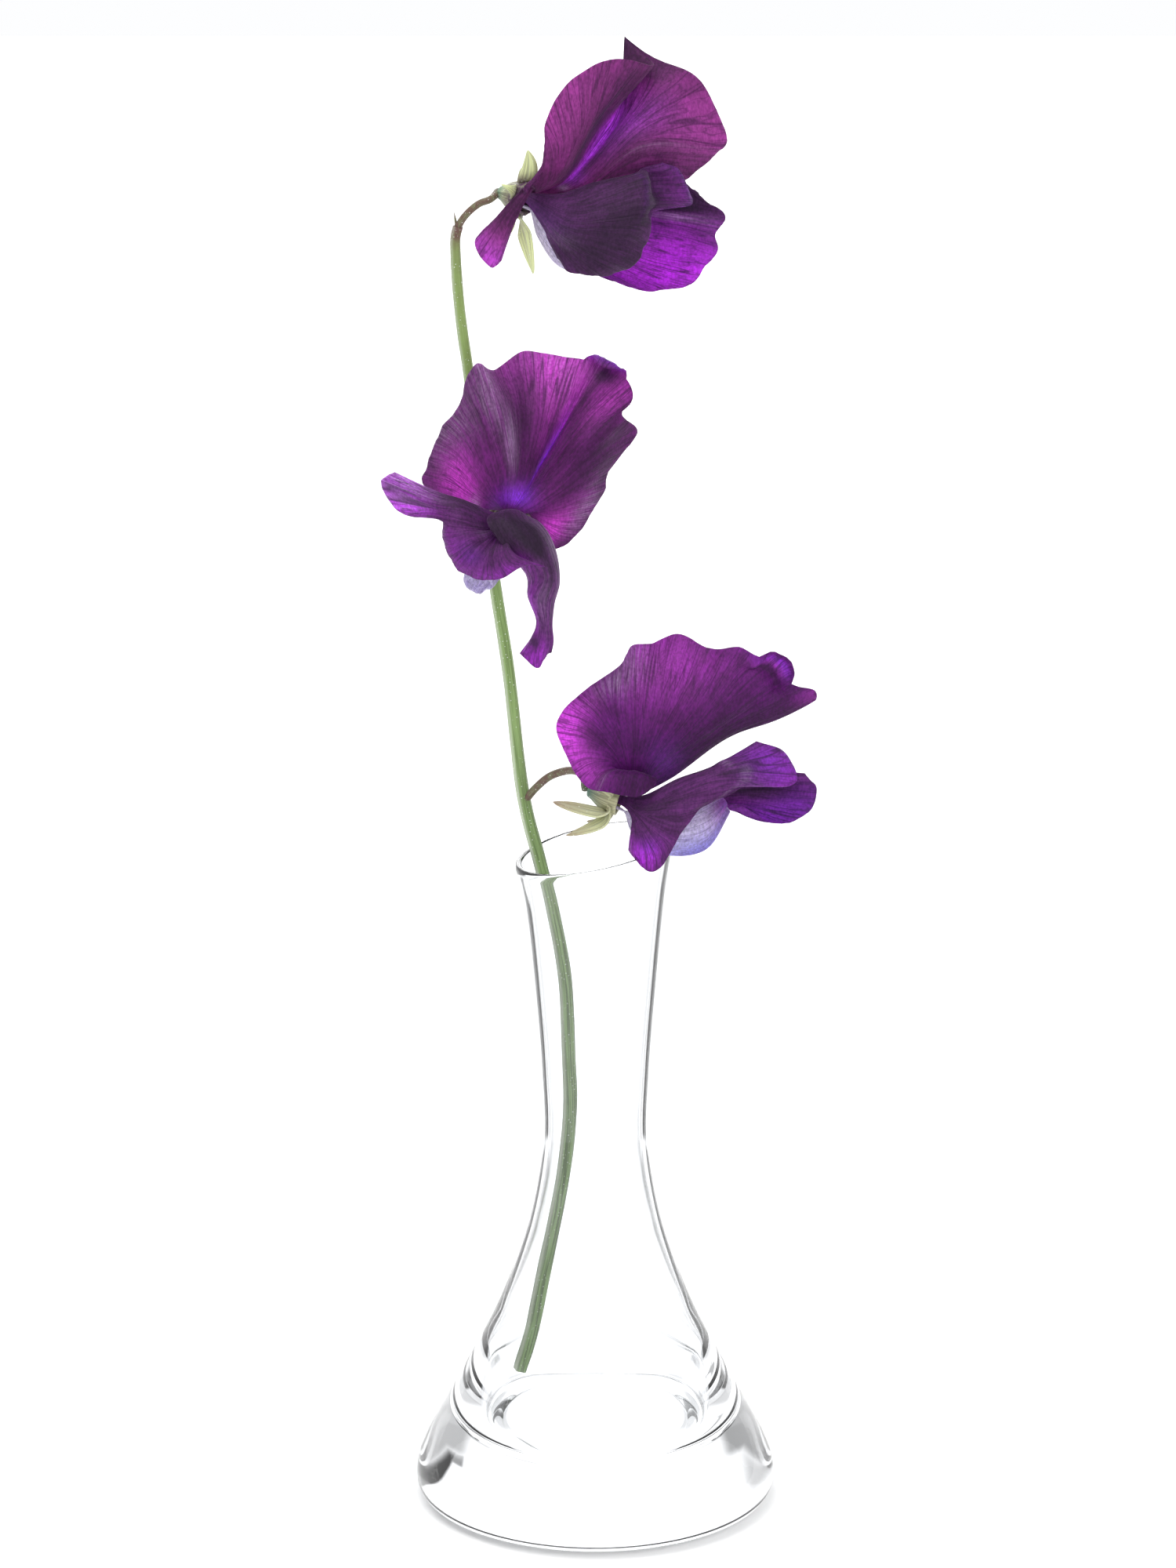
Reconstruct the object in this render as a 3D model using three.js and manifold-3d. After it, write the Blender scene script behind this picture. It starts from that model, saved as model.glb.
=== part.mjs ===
// Sweet pea flower stem standing in a clear glass bud vase.
// Millimetres, +Z up, +X to the right and +Y away from the front.
// The origin is the centre of the vase's flat foot.
import * as THREE from 'three';
import { mergeVertices } from 'three/addons/utils/BufferGeometryUtils.js';
import Module from 'manifold-3d';

const wasm = await Module();
wasm.setup();

// Vase: outside and inside profiles as [radius, height], from the foot and the floor up to the rim.
const VASE_OUTSIDE = [
  [29, 0], [32.9, 1.6], [34, 5], [32.4, 10.6], [26.3, 22.5], [18.7, 37.5],
  [12.9, 54], [10.1, 70], [10.4, 85], [11.7, 102], [13.3, 118], [15.1, 128.4],
];
const VASE_INSIDE = [
  [19, 12], [22.4, 13.6], [23.2, 17.5], [22.6, 22.5], [20.4, 30], [17, 38],
  [11.5, 54], [8.7, 70], [9, 85], [10.3, 102], [11.9, 118], [13.7, 128.4],
];
const VASE_SIDES = 40;
const PROFILE_STEPS = 18;
const RIM_SLOPE = 0.2;
const RIM_SLOPE_START = 90;
const RIM_HEIGHT = 128.4;

// Stem: centre line from the cut end in the vase up to the joint of the top flower.
const STEM_ROUTE = [
  [-15.6, 14.8, 16.8], [-12.7, 12.4, 27], [-9.5, 8.4, 44.2], [-6.3, 4.8, 62.1], [-4.9, 3.8, 75.6],
  [-5.1, 3.6, 86.5], [-5.8, 4, 101.7], [-8.1, 4.5, 114.7], [-10.4, 5, 124.3], [-13.5, 6, 137.4],
  [-16, 6, 160], [-18.4, 6, 176.5], [-20.5, 5.8, 192.9], [-22.9, 5, 215.2], [-24.2, 4.4, 225],
  [-25, 4, 233], [-25.4, 3.4, 241.7], [-24.9, 3.2, 244.8],
];
const STEM_RADIUS_FOOT = 1.4;
const STEM_RADIUS_TOP = 0.85;
const STEM_STEPS = 60;
const STEM_SIDES = 8;
const BRISTLE_ROUTE = [[-24.9, 3.2, 243.6], [-25.3, 3.2, 245.6], [-25.6, 3.2, 247.4]];
const BRISTLE_RADIUS = 0.5;
const PEDICEL_SIDES = 6;
const PEDICEL_STEPS = 12;

// Calyx: a cup with five pointed sepals. Heights run along its axis from the mouth.
const CUP_PROFILE = [
  [0, -6.2], [1.1, -6], [1.6, -5], [2.5, -3.4], [2.95, -1.2], [3, 0],
  [2.5, 0], [2.45, -1.4], [2.1, -3], [1.2, -4], [0, -4.2],
];
const CUP_SIDES = 14;
const CUP_BASE = 6.2;
const SEPAL_ROOT_RADIUS = 2.7;
const SEPAL_ROOT_DEPTH = 1.3;
const SEPAL_HALF_WIDTH = 1.45;
const SEPAL_STEPS = 6;
const SEAT_GAP = 0.3;

// Petals: each one is a claw seated in the cup, a throat just outside it, and a blade.
const PETAL_THICKNESS = 0.6;
const CLAW_DEPTH = 2.2;
const CLAW_OFFSET = 1.5;
const CLAW_WIDTH = 1.4;
const THROAT_HEIGHT = 1.4;
const THROAT_OFFSET = 1.7;
const THROAT_WIDTH = 2;

// A net gives a blade's ribs from one side to the other. Each rib has its points from the throat out
// to the margin, as [right, up, towards the front] from the mouth of the calyx.
const TOP_STANDARD = [
  [[0.6, 1, 5.2], [-2, -4, 6], [-4.6, -11, 4]],
  [[0.2, 1.4, 5.6], [-3.6, -5, 6.2], [-6.6, -12.2, 4.4]],
  [[-0.2, 1.8, 5.6], [-5, -3, 6], [-9, -7.8, 4.2]],
  [[0.4, 2.4, 5.6], [-1.6, 1, 6], [-4, -1.5, 5]],
  [[1.4, 2.8, 5.2], [2, 3.4, 5.8], [2.8, 4.3, 6]],
  [[2.6, 3.2, 5], [3, 6, 6.5], [3.2, 9.5, 8]],
  [[4.5, 3.5, 4.5], [5.5, 9, 7.5], [3.6, 14.2, 9]],
  [[5.5, 3.8, 4], [8.2, 11, 7], [7, 20.3, 9]],
  [[6.2, 4, 3], [10.8, 13, 5.5], [13.1, 24.3, 7]],
  [[7, 4.2, 1.8], [12.8, 14.2, 2.5], [18.5, 25, 4]],
  [[7.8, 4.2, 0.5], [14.6, 14.2, -1.5], [23.2, 23.9, -1]],
  [[8.6, 3.8, 1.2], [17, 13.8, -0.4], [17.6, 29.4, -6]],
  [[9.4, 3.2, 1.8], [19, 13.6, 1.5], [29.6, 23, -4]],
  [[10, 2.6, 2], [20.5, 12.4, 2], [33.6, 17.6, -6]],
  [[10.2, 2, 2], [21, 10.4, 2], [36, 10.4, -7]],
  [[10, 1.2, 2], [20.4, 7.4, 2], [33.6, 7.3, -6]],
  [[8.6, 0, 1.4], [17, 3, 1], [27.6, 3, -4.6]],
];
const TOP_NEAR_WING = [
  [[6, 1, 4], [12, 3, 5.5], [19, 4.6, 5], [24.5, 6.6, 1]],
  [[8, -1, 7], [15, 1, 8.5], [21, 3.2, 7], [28, 4.6, -1]],
  [[8, -3, 8], [15, -2, 10], [21.2, -0.5, 8], [29.8, -0.9, -1]],
  [[7.8, -3.8, 8.3], [14.6, -3.4, 10.4], [20.6, -2.4, 9.2], [23.4, -2.4, 6.5]],
  [[7.5, -4.6, 8.5], [14, -5, 10.5], [19.4, -5, 9.5], [22, -6.6, 6.5]],
  [[6.5, -6, 8], [12, -8, 10], [16.6, -9.5, 9], [20, -10.8, 6]],
  [[5, -6.6, 7], [9, -10, 8.5], [12.4, -12.4, 8], [14.5, -13.8, 6]],
  [[3.8, -6, 6], [5.6, -9, 7], [7.2, -11.2, 7], [8.4, -13, 6]],
  [[2.9, -5, 5], [3.6, -7, 5.6], [4.4, -8.8, 5.6], [5.2, -10.6, 5.2]],
];
const TOP_FAR_WING = [
  [[6, 0, -3.6], [16, 2, -6.4], [27, 3.6, -8], [31.4, 0, -8]],
  [[7, -1, -4.4], [17, -1, -7.6], [27, -2, -8.5], [36, -3, -7]],
  [[7, -3, -5], [17, -4.5, -8], [26, -6.5, -7.6], [34.8, -9, -5]],
  [[6, -5, -5], [14, -8.5, -7], [22, -11.5, -6.6], [30.6, -12.8, -4]],
  [[5.2, -5.6, -5.4], [11, -11, -6.6], [18, -14, -6], [23.8, -15.8, -3]],
  [[4.4, -5.8, -5.2], [8.4, -10.6, -6], [12, -13.4, -5.4], [15.5, -14.6, -3.4]],
];
const TOP_KEEL = [
  [[4, -3, 1.5], [9, -5, 2.2], [14, -7, 1.9], [18, -7.6, 0.8]],
  [[3, -5, 2.2], [8, -8, 3], [13.6, -9.4, 2.4], [18.6, -8.4, 0.9]],
  [[2, -6.8, 0], [6, -12.2, 0], [12.6, -12.8, 0], [19, -9.4, 0]],
  [[3, -5, -2.2], [8, -8, -3], [13.6, -9.4, -2.4], [18.6, -8.4, -0.9]],
  [[4, -3, -1.5], [9, -5, -2.2], [14, -7, -1.9], [18, -7.6, -0.8]],
];
const MIDDLE_STANDARD = [
  [[-3.4, 1.4, 1.4], [-6.4, 0.6, 2], [-11, 2, 0], [-15, 5, -3]],
  [[-3.2, 2, 2.4], [-6.6, 3.6, 3.4], [-11, 6.5, 1.6], [-15.7, 8, -2.6]],
  [[-2.2, 2.6, 3.6], [-5.4, 6.6, 5], [-9.2, 12, 3.6], [-13, 14.6, -1.6]],
  [[-1.5, 3.2, 4], [-3, 8, 6.4], [-5.6, 15, 6.2], [-9.4, 20.6, 0.6]],
  [[-0.8, 3.6, 4], [-1, 9.4, 5.8], [-3.4, 18.4, 6.2], [-6.2, 27.6, 2]],
  [[0, 3.8, 3.6], [1, 9.8, 4], [0, 19.6, 3.4], [-2.8, 26.8, 1.4]],
  [[0.8, 3.8, 3], [2.6, 9.8, 2.2], [3.6, 20, 1], [2.6, 30.2, -3]],
  [[1.6, 3.6, 2.6], [4.2, 9.6, 0.8], [7.4, 19.4, 0], [9.6, 29.3, -3.4]],
  [[2.2, 3.4, 2.2], [5, 9, -0.2], [10, 18.4, -0.8], [14, 28.6, -2]],
  [[2.6, 3.2, 2], [5.8, 8.6, -0.6], [11.6, 18, -1.4], [18.4, 27.4, -1.4]],
  [[3, 3, 2.4], [6.8, 8.2, 0.8], [13.2, 17, 1], [21.4, 24.8, 0]],
  [[3.4, 2.6, 2.6], [7.6, 7.4, 2], [14.4, 15.4, 2.8], [22.3, 21.6, 1]],
  [[3.6, 2.2, 2.8], [8.4, 6.4, 2.8], [15, 13.2, 3.4], [20, 18.6, 1.4]],
  [[3.8, 1.6, 2.8], [9, 5, 3], [15.4, 10.4, 3], [23.2, 15.4, -1]],
  [[3.8, 1, 2.6], [8.8, 3, 2.8], [14, 6, 2], [18, 8.2, -2]],
  [[3.8, 1.2, 2.2], [7.6, 0.6, 2.6], [12, 1.4, 1.8], [16, 2.4, -1.6]],
  [[3.7, 0.9, 1.8], [6, -1.2, 2.2], [8.8, -3, 1.4], [11.6, -3.6, -0.4]],
  [[3.5, 0.7, 1.2], [4.8, -1.8, 1.4], [6.4, -4.4, 0.8], [8.4, -5.7, 0]],
];
const MIDDLE_LEFT_WING = [
  [[-3, 1, 5], [-8, 3.2, 9], [-13.5, 5, 8.4], [-20.8, 8.3, 5]],
  [[-3.6, -0.4, 6.4], [-8.4, 1.6, 11], [-14, 2.6, 9.6], [-23.3, 6.2, 5]],
  [[-3.8, -1.4, 7], [-8.4, -0.4, 12], [-13.4, 1, 9], [-19.8, 1.2, 3]],
  [[-3.7, -2, 7.2], [-7.8, -1.6, 12.4], [-11.4, -1, 11], [-13.2, -0.2, 8.6]],
  [[-3.6, -2.4, 7.4], [-7.4, -2.8, 12.6], [-10.4, -3.4, 11.6], [-11.8, -3.6, 9.4]],
  [[-3, -3, 7.6], [-6.2, -5.2, 12.6], [-8.8, -7.6, 11.6], [-9.9, -8.6, 9.4]],
  [[-2.2, -3.2, 7.4], [-4.2, -6.2, 12], [-5.6, -9, 11.4], [-6.6, -11.1, 9]],
  [[-1.6, -3.2, 7], [-2.4, -6, 10.6], [-3, -8.8, 10.6], [-3.4, -10.8, 9]],
  [[-1, -3.2, 6.4], [-0.2, -5.4, 9.4], [0.8, -7.4, 9.8], [2, -9.2, 9.4]],
];
const MIDDLE_RIGHT_WING = [
  [
    [-2.4, 0.8, 6], [-4, -0.8, 10.5], [-1, -5.2, 12.6], [2.4, -8, 12], [4.8, -10.2, 11.2],
    [3, -14, 10.4], [4.6, -18.6, 9.6], [4, -21.4, 9], [1.9, -24.4, 7.6],
  ],
  [
    [-0.4, 1.4, 6], [-0.6, 0, 10.4], [1.6, -3.4, 13], [4.6, -7.4, 12.6], [6.2, -10.8, 11.4],
    [4.8, -14.6, 11], [5.8, -18.8, 10.2], [5.6, -22, 9.6], [4.9, -27.1, 7],
  ],
  [
    [1.6, 1.2, 5.6], [2.4, -0.4, 9], [4.8, -2.6, 11], [7, -7, 11], [8, -11.2, 10.4],
    [6.8, -15.2, 10.4], [6.8, -19, 10.2], [7, -22.4, 9], [6.4, -25.6, 6.6],
  ],
  [
    [3.4, -0.2, 4], [5.6, -1, 5.6], [7.6, -3.8, 7], [8.8, -7.6, 7.6], [9.1, -11.8, 8],
    [8.2, -15.4, 8.6], [7.8, -19.2, 9.4], [8, -22, 8.4], [7.7, -24.4, 5.6],
  ],
];
const MIDDLE_KEEL = [
  [[-1.4, -2.8, 3.6], [-3, -5.2, 5.8], [-4.2, -8, 7], [-5, -10.4, 7.4]],
  [[-2, -3.8, 3], [-4.8, -6.8, 4.6], [-6.8, -10, 5.4], [-6.6, -12.4, 6.6]],
  [[-0.4, -4.6, 1.8], [-2.4, -9, 2.4], [-4.6, -12.6, 3.8], [-5.2, -13.8, 6.2]],
  [[1.4, -3.8, 3], [0.8, -7, 4.6], [-1.6, -10.6, 5.4], [-3.2, -12.8, 6.6]],
  [[0.8, -2.8, 3.6], [-0.6, -5.4, 5.8], [-2.6, -8.4, 7], [-4.2, -10.8, 7.4]],
];
const LOWER_STANDARD = [
  [[5.4, 3.4, 2.4], [6.6, 3.9, 4.8], [6.6, 2.6, 6.4]],
  [[3.6, 4.6, 3.4], [4.2, 4.4, 6.4], [3.2, 0.6, 7.4]],
  [[1.2, 5, 3.8], [-1, 4.6, 6.6], [-2.2, 1.3, 7]],
  [[-0.6, 5.6, 4.2], [-4, 5, 6.2], [-6.3, 2.5, 6]],
  [[-1, 7, 4.8], [-5.6, 8.6, 6.6], [-9.6, 7.6, 5.4]],
  [[-0.6, 8, 5.2], [-5.8, 12.6, 7.2], [-11.3, 14.5, 5]],
  [[0.4, 8.8, 5.6], [-2.6, 15.6, 8], [-6, 20.4, 6]],
  [[1.6, 9.2, 5.6], [-0.4, 16.8, 8.2], [0.2, 24.4, 6.6]],
  [[2.4, 9.2, 5.6], [1.6, 17.6, 8.2], [2, 28, 5.4]],
  [[3.4, 9.2, 5.4], [4.6, 18.2, 8], [6, 28.6, 4.6]],
  [[4.8, 9, 5], [8, 18.6, 7.4], [10.7, 30.3, 4]],
  [[6.2, 8.6, 4.4], [12, 18, 6.8], [16.6, 27.6, 4]],
  [[7.4, 8, 3.6], [15.8, 17.2, 5.8], [22.6, 28, 3]],
  [[8.4, 7.2, 2.6], [18.6, 16, 4.2], [29.6, 25.6, 2]],
  [[9, 6.2, 1.4], [20, 14.2, 2.2], [32, 22, 1]],
  [[9.4, 5.2, 0], [20.4, 12.8, 0], [36.2, 19.2, -0.6]],
  [[9.2, 5.2, -1.4], [20.4, 13, -2.2], [34.6, 18.6, -2.4]],
  [[8.8, 6.2, -2.8], [18.6, 14.4, -5], [28.6, 22, -5]],
  [[7, 8, -4.2], [13, 17.6, -7.2], [18, 26, -6]],
  [[4.4, 8.8, -5.2], [6.4, 17.8, -8.2], [6.6, 26.6, -7]],
  [[1.6, 8.4, -5.4], [-0.6, 15.6, -8.2], [-2.6, 20, -8]],
  [[-0.4, 6.8, -5], [-4.6, 10.4, -7], [-8, 12, -6]],
  [[0, 4.8, -4], [-3, 5.2, -6], [-5.6, 4.4, -6]],
];
const LOWER_NEAR_WING = [
  [[5, 1, 3.6], [10.6, 3.8, 5], [17, 6, 6], [25, 10.7, 4]],
  [[5, 0, 4.8], [11, 3, 7], [18.6, 5.6, 8], [30, 8.8, 3]],
  [[5, -1, 5.4], [11, 1, 8], [18.6, 3.6, 8.6], [32, 3, 4]],
  [[4.6, -1.7, 6], [10, -0.6, 8.6], [16.8, 1, 8.6], [23.4, 2.3, 6.4]],
  [[4.2, -2.2, 6.2], [8.6, -2.2, 9], [12.4, -2, 9], [16, -0.8, 8]],
  [[3.7, -2.8, 6.3], [7, -4.8, 9.4], [9.4, -5.8, 9.4], [11.2, -6, 8.6]],
  [[3.2, -3.2, 6.3], [5.4, -6.8, 9.5], [7, -9.6, 9.5], [7.2, -12.6, 8.6]],
  [[2.6, -3.4, 6], [3.4, -7, 9], [3.7, -10, 9], [4, -12.4, 8.5]],
  [[2.1, -3.2, 5.4], [2, -5.4, 8], [1.7, -7.3, 8.4], [1.5, -9.2, 8]],
];
const LOWER_FAR_WING = [
  [[6, 0.4, -3.4], [14, 3, -5], [24, 5.4, -5], [34, 4.8, -3]],
  [[6, -0.8, -4], [14, 1, -6], [25, 2.2, -5.6], [36.2, 2.2, -3]],
  [[5.6, -1.8, -4.4], [13, -1, -6.6], [23, -1, -5.8], [34.6, -2.4, -2.4]],
  [[5, -2.6, -4.6], [11, -3, -6.8], [19, -3.2, -6.2], [28.2, -4.9, -2]],
  [[4.4, -3.2, -4.4], [9, -5.4, -6.8], [14, -5.6, -6.6], [20.6, -3.6, -4.4]],
  [[3.8, -3.4, -4], [6.6, -6, -6.2], [9.6, -7, -6.6], [12.4, -7, -6.4]],
];
const LOWER_KEEL = [
  [[5, -2.2, 2], [10, -2.6, 3.2], [15, -1.4, 2.6], [19, 0.6, 0.8]],
  [[4, -4.4, 2.8], [9.4, -6.4, 4.2], [15.6, -5.2, 3.4], [19.6, -0.8, 1]],
  [[2.6, -6.2, 0], [8.4, -10, 0], [15.8, -9, 0], [20, -2, 0]],
  [[4, -4.4, -2.8], [9.4, -6.4, -4.2], [15.6, -5.2, -3.4], [19.6, -0.8, -1]],
  [[5, -2.2, -2], [10, -2.6, -3.2], [15, -1.4, -2.6], [19, 0.6, -0.8]],
];

// Flowers: seat is the mouth of the calyx on the stem's frame, and tilt leans the flower's own frame back.
// axis points out of the cup and rise points to the standard. A petal's flank gives the place of its claw
// in the cup: sideways towards the front, then up. across and along are the steps between the net's points.
const FLOWERS = [
  {
    name: 'top',
    seat: [-12.4, 2, 250.1],
    tilt: 11.3,
    axis: [0.8, -0.2, 0.56],
    rise: [0.3, 0.92, -0.1],
    pedicelRoute: [[-25.2, 3.3, 243], [-24, 3.2, 245.4], [-22.6, 3, 246.8], [-20.5, 3, 248.6]],
    pedicelRadius: 0.5,
    sepalTips: [[0.4, 8.4, 1.4], [-6.5, 3.4, 4], [-3, -6, 3.4], [1.1, -13.4, 1], [0, 2, -8]],
    petals: [
      { kind: 'standard', net: TOP_STANDARD, flank: [0, 1], across: 2, along: 8 },
      { kind: 'wing_near', net: TOP_NEAR_WING, flank: [1, 0], across: 2, along: 8 },
      { kind: 'wing_far', net: TOP_FAR_WING, flank: [-1, 0], across: 2, along: 8 },
      { kind: 'keel', net: TOP_KEEL, flank: [0, -1], across: 2, along: 7 },
    ],
  },
  {
    name: 'middle',
    seat: [-15.6, -8, 193.4],
    tilt: 14.1,
    axis: [-0.1, -0.35, 0.93],
    rise: [0.15, 0.93, 0.33],
    pedicelRoute: [[-20.9, 5.8, 187.5], [-19, 6, 191], [-17, 4.6, 194.2], [-15.6, 2.2, 195.2]],
    pedicelRadius: 0.6,
    sepalTips: [[1, 9, -4], [8, 3, -6], [6, -6, -6], [-5.5, -6.5, -6], [-8, 3, -6]],
    petals: [
      { kind: 'standard', net: MIDDLE_STANDARD, flank: [0, 1], across: 2, along: 9 },
      { kind: 'wing_left', net: MIDDLE_LEFT_WING, flank: [1, 0], across: 2, along: 8 },
      { kind: 'wing_right', net: MIDDLE_RIGHT_WING, flank: [-1, 0], across: 3, along: 16 },
      { kind: 'keel', net: MIDDLE_KEEL, flank: [0, -1], across: 2, along: 7 },
    ],
  },
  {
    name: 'lower',
    seat: [4.4, -10, 140.6],
    tilt: 16.5,
    axis: [0.93, -0.3, 0.15],
    rise: [0.3, 0.95, 0],
    pedicelRoute: [[-13.2, 6, 135.6], [-11, 4, 138.8], [-8.3, 1.4, 141.8], [-5.2, -3, 143.6]],
    pedicelRadius: 0.62,
    sepalTips: [[-7, 3.4, 3], [-12, -1.6, 1], [-9.8, -6.5, 2], [-6, -4, -6], [-6.4, 3, -6]],
    petals: [
      { kind: 'standard', net: LOWER_STANDARD, flank: [0, 1], across: 2, along: 8 },
      { kind: 'wing_near', net: LOWER_NEAR_WING, flank: [1, 0], across: 2, along: 8 },
      { kind: 'wing_far', net: LOWER_FAR_WING, flank: [-1, 0], across: 2, along: 8 },
      { kind: 'keel', net: LOWER_KEEL, flank: [0, -1], across: 2, along: 7 },
    ],
  },
];

const glass = { color: 0xeef4f5, roughness: 0.02, metalness: 0 };
const stemGreen = { color: 0x76a05a, roughness: 0.55, metalness: 0 };
const calyxGreen = { color: 0xa9c078, roughness: 0.6, metalness: 0 };
const petalColours = {
  standard: { color: 0x7a2480, roughness: 0.6, metalness: 0 },
  wing: { color: 0x4b2362, roughness: 0.55, metalness: 0 },
  keel: { color: 0xb9b2e2, roughness: 0.5, metalness: 0 },
};

function vector(values) {
  return new THREE.Vector3(...values);
}

function piece(name, geometry, material) {
  const mesh = new THREE.Mesh(geometry, new THREE.MeshStandardMaterial(material));
  mesh.name = name;
  return mesh;
}

// A smooth curve through the points, in even steps from one point to the next.
function smoothCurve(points) {
  return new THREE.CatmullRomCurve3(points, false, 'catmullrom', 0.5);
}

function closedGeometry(positions, triangles) {
  const geometry = new THREE.BufferGeometry();
  geometry.setAttribute('position', new THREE.Float32BufferAttribute(positions, 3));
  geometry.setIndex(triangles);
  geometry.computeVertexNormals();
  return geometry;
}

function toSolid(geometry) {
  const bare = geometry.clone();
  bare.deleteAttribute('normal');
  bare.deleteAttribute('uv');
  const merged = mergeVertices(bare, 1e-4);
  return new wasm.Manifold(new wasm.Mesh({
    numProp: 3,
    vertProperties: new Float32Array(merged.attributes.position.array),
    triVerts: new Uint32Array(merged.index.array),
  }));
}

// Joins closed geometries into one body.
function fuse(geometries) {
  const body = geometries.map(toSolid).reduce((whole, part) => whole.add(part));
  const mesh = body.getMesh();
  return closedGeometry(Array.from(mesh.vertProperties), Array.from(mesh.triVerts));
}

// A blade of even thickness round a grid of points on its middle surface, grid[column][row].
function bladeGeometry(grid, thickness) {
  const columns = grid.length;
  const rows = grid[0].length;
  const front = [];
  const back = [];
  for (let i = 0; i < columns; i += 1) {
    for (let j = 0; j < rows; j += 1) {
      const before = grid[Math.max(i - 1, 0)][j];
      const after = grid[Math.min(i + 1, columns - 1)][j];
      const under = grid[i][Math.max(j - 1, 0)];
      const over = grid[i][Math.min(j + 1, rows - 1)];
      const sideways = new THREE.Vector3().subVectors(after, before);
      const outwards = new THREE.Vector3().subVectors(over, under);
      const normal = sideways.cross(outwards).setLength(thickness / 2);
      front.push(...grid[i][j].clone().add(normal).toArray());
      back.push(...grid[i][j].clone().sub(normal).toArray());
    }
  }
  const count = columns * rows;
  const at = (i, j) => i * rows + j;
  const triangles = [];
  for (let i = 0; i < columns - 1; i += 1) {
    for (let j = 0; j < rows - 1; j += 1) {
      const corners = [at(i, j), at(i + 1, j), at(i + 1, j + 1), at(i, j + 1)];
      triangles.push(corners[0], corners[1], corners[2], corners[0], corners[2], corners[3]);
      const under = corners.map((corner) => corner + count);
      triangles.push(under[0], under[2], under[1], under[0], under[3], under[2]);
    }
  }
  const border = [];
  for (let i = 0; i < columns - 1; i += 1) border.push(at(i, 0));
  for (let j = 0; j < rows - 1; j += 1) border.push(at(columns - 1, j));
  for (let i = columns - 1; i > 0; i -= 1) border.push(at(i, rows - 1));
  for (let j = rows - 1; j > 0; j -= 1) border.push(at(0, j));
  border.forEach((corner, k) => {
    const next = border[(k + 1) % border.length];
    triangles.push(next, corner, corner + count, next, corner + count, next + count);
  });
  return closedGeometry([...front, ...back], triangles);
}

// A round stalk along a curve, closed at both ends, with a radius that changes along it.
function stalkGeometry(curve, radiusAt, sides, steps) {
  const frames = curve.computeFrenetFrames(steps, false);
  const positions = [];
  for (let k = 0; k <= steps; k += 1) {
    const centre = curve.getPointAt(k / steps);
    for (let i = 0; i < sides; i += 1) {
      const turn = (i / sides) * 2 * Math.PI;
      const spoke = new THREE.Vector3()
        .addScaledVector(frames.normals[k], Math.cos(turn))
        .addScaledVector(frames.binormals[k], Math.sin(turn));
      positions.push(...centre.clone().addScaledVector(spoke, radiusAt(k / steps)).toArray());
    }
  }
  const foot = positions.length / 3;
  positions.push(...curve.getPointAt(0).toArray(), ...curve.getPointAt(1).toArray());
  const triangles = [];
  for (let i = 0; i < sides; i += 1) {
    const next = (i + 1) % sides;
    for (let k = 0; k < steps; k += 1) {
      const low = k * sides;
      const high = low + sides;
      triangles.push(low + i, low + next, high + next, low + i, high + next, high + i);
    }
    triangles.push(foot, next, i, foot + 1, steps * sides + i, steps * sides + next);
  }
  return closedGeometry(positions, triangles);
}

function vaseGeometry() {
  const along = (profile) => {
    const points = profile.map(([radius, height]) => new THREE.Vector2(radius, height));
    return new THREE.SplineCurve(points).getPoints(PROFILE_STEPS);
  };
  const floor = VASE_INSIDE[0][1];
  const profile = [
    new THREE.Vector2(0, 0),
    ...along(VASE_OUTSIDE),
    ...along(VASE_INSIDE).reverse(),
    new THREE.Vector2(0, floor),
  ];
  const geometry = new THREE.LatheGeometry(profile, VASE_SIDES);
  geometry.rotateX(Math.PI / 2);
  const position = geometry.attributes.position;
  for (let k = 0; k < position.count; k += 1) {
    const height = position.getZ(k);
    const share = Math.max((height - RIM_SLOPE_START) / (RIM_HEIGHT - RIM_SLOPE_START), 0);
    position.setZ(k, height + RIM_SLOPE * position.getX(k) * share ** 2);
  }
  return geometry;
}

// The flower's own directions: out of the cup, towards the standard, and to the side.
function directions(flower) {
  const axis = vector(flower.axis).normalize();
  const rise = vector(flower.rise);
  rise.addScaledVector(axis, -rise.dot(axis)).normalize();
  return { axis, rise, side: new THREE.Vector3().crossVectors(axis, rise) };
}

function petalGeometry(flower, petal) {
  const { axis, rise, side } = directions(flower);
  const [sideways, upwards] = petal.flank;
  const outwards = new THREE.Vector3().addScaledVector(side, sideways).addScaledVector(rise, upwards);
  const tangent = new THREE.Vector3().crossVectors(axis, outwards);
  const ribs = petal.net.map((rib) => rib.map(vector));
  const span = new THREE.Vector3().subVectors(ribs[0][0], ribs[ribs.length - 1][0]);
  if (span.dot(tangent) < 0) tangent.negate();
  const curves = ribs.map((rib, i) => {
    const share = 0.5 - i / (ribs.length - 1);
    const root = (height, offset, width) => new THREE.Vector3()
      .addScaledVector(axis, height)
      .addScaledVector(outwards, offset)
      .addScaledVector(tangent, share * width);
    const claw = root(-CLAW_DEPTH, CLAW_OFFSET, CLAW_WIDTH);
    const throat = root(THROAT_HEIGHT, THROAT_OFFSET, THROAT_WIDTH);
    return smoothCurve([claw, throat, ...rib]);
  });
  const columns = petal.across * (ribs.length - 1);
  const grid = Array.from({ length: columns + 1 }, () => []);
  for (let j = 0; j <= petal.along; j += 1) {
    const level = smoothCurve(curves.map((curve) => curve.getPoint(j / petal.along)));
    grid.forEach((column, i) => column.push(level.getPoint(i / columns)));
  }
  return bladeGeometry(grid, PETAL_THICKNESS);
}

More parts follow.
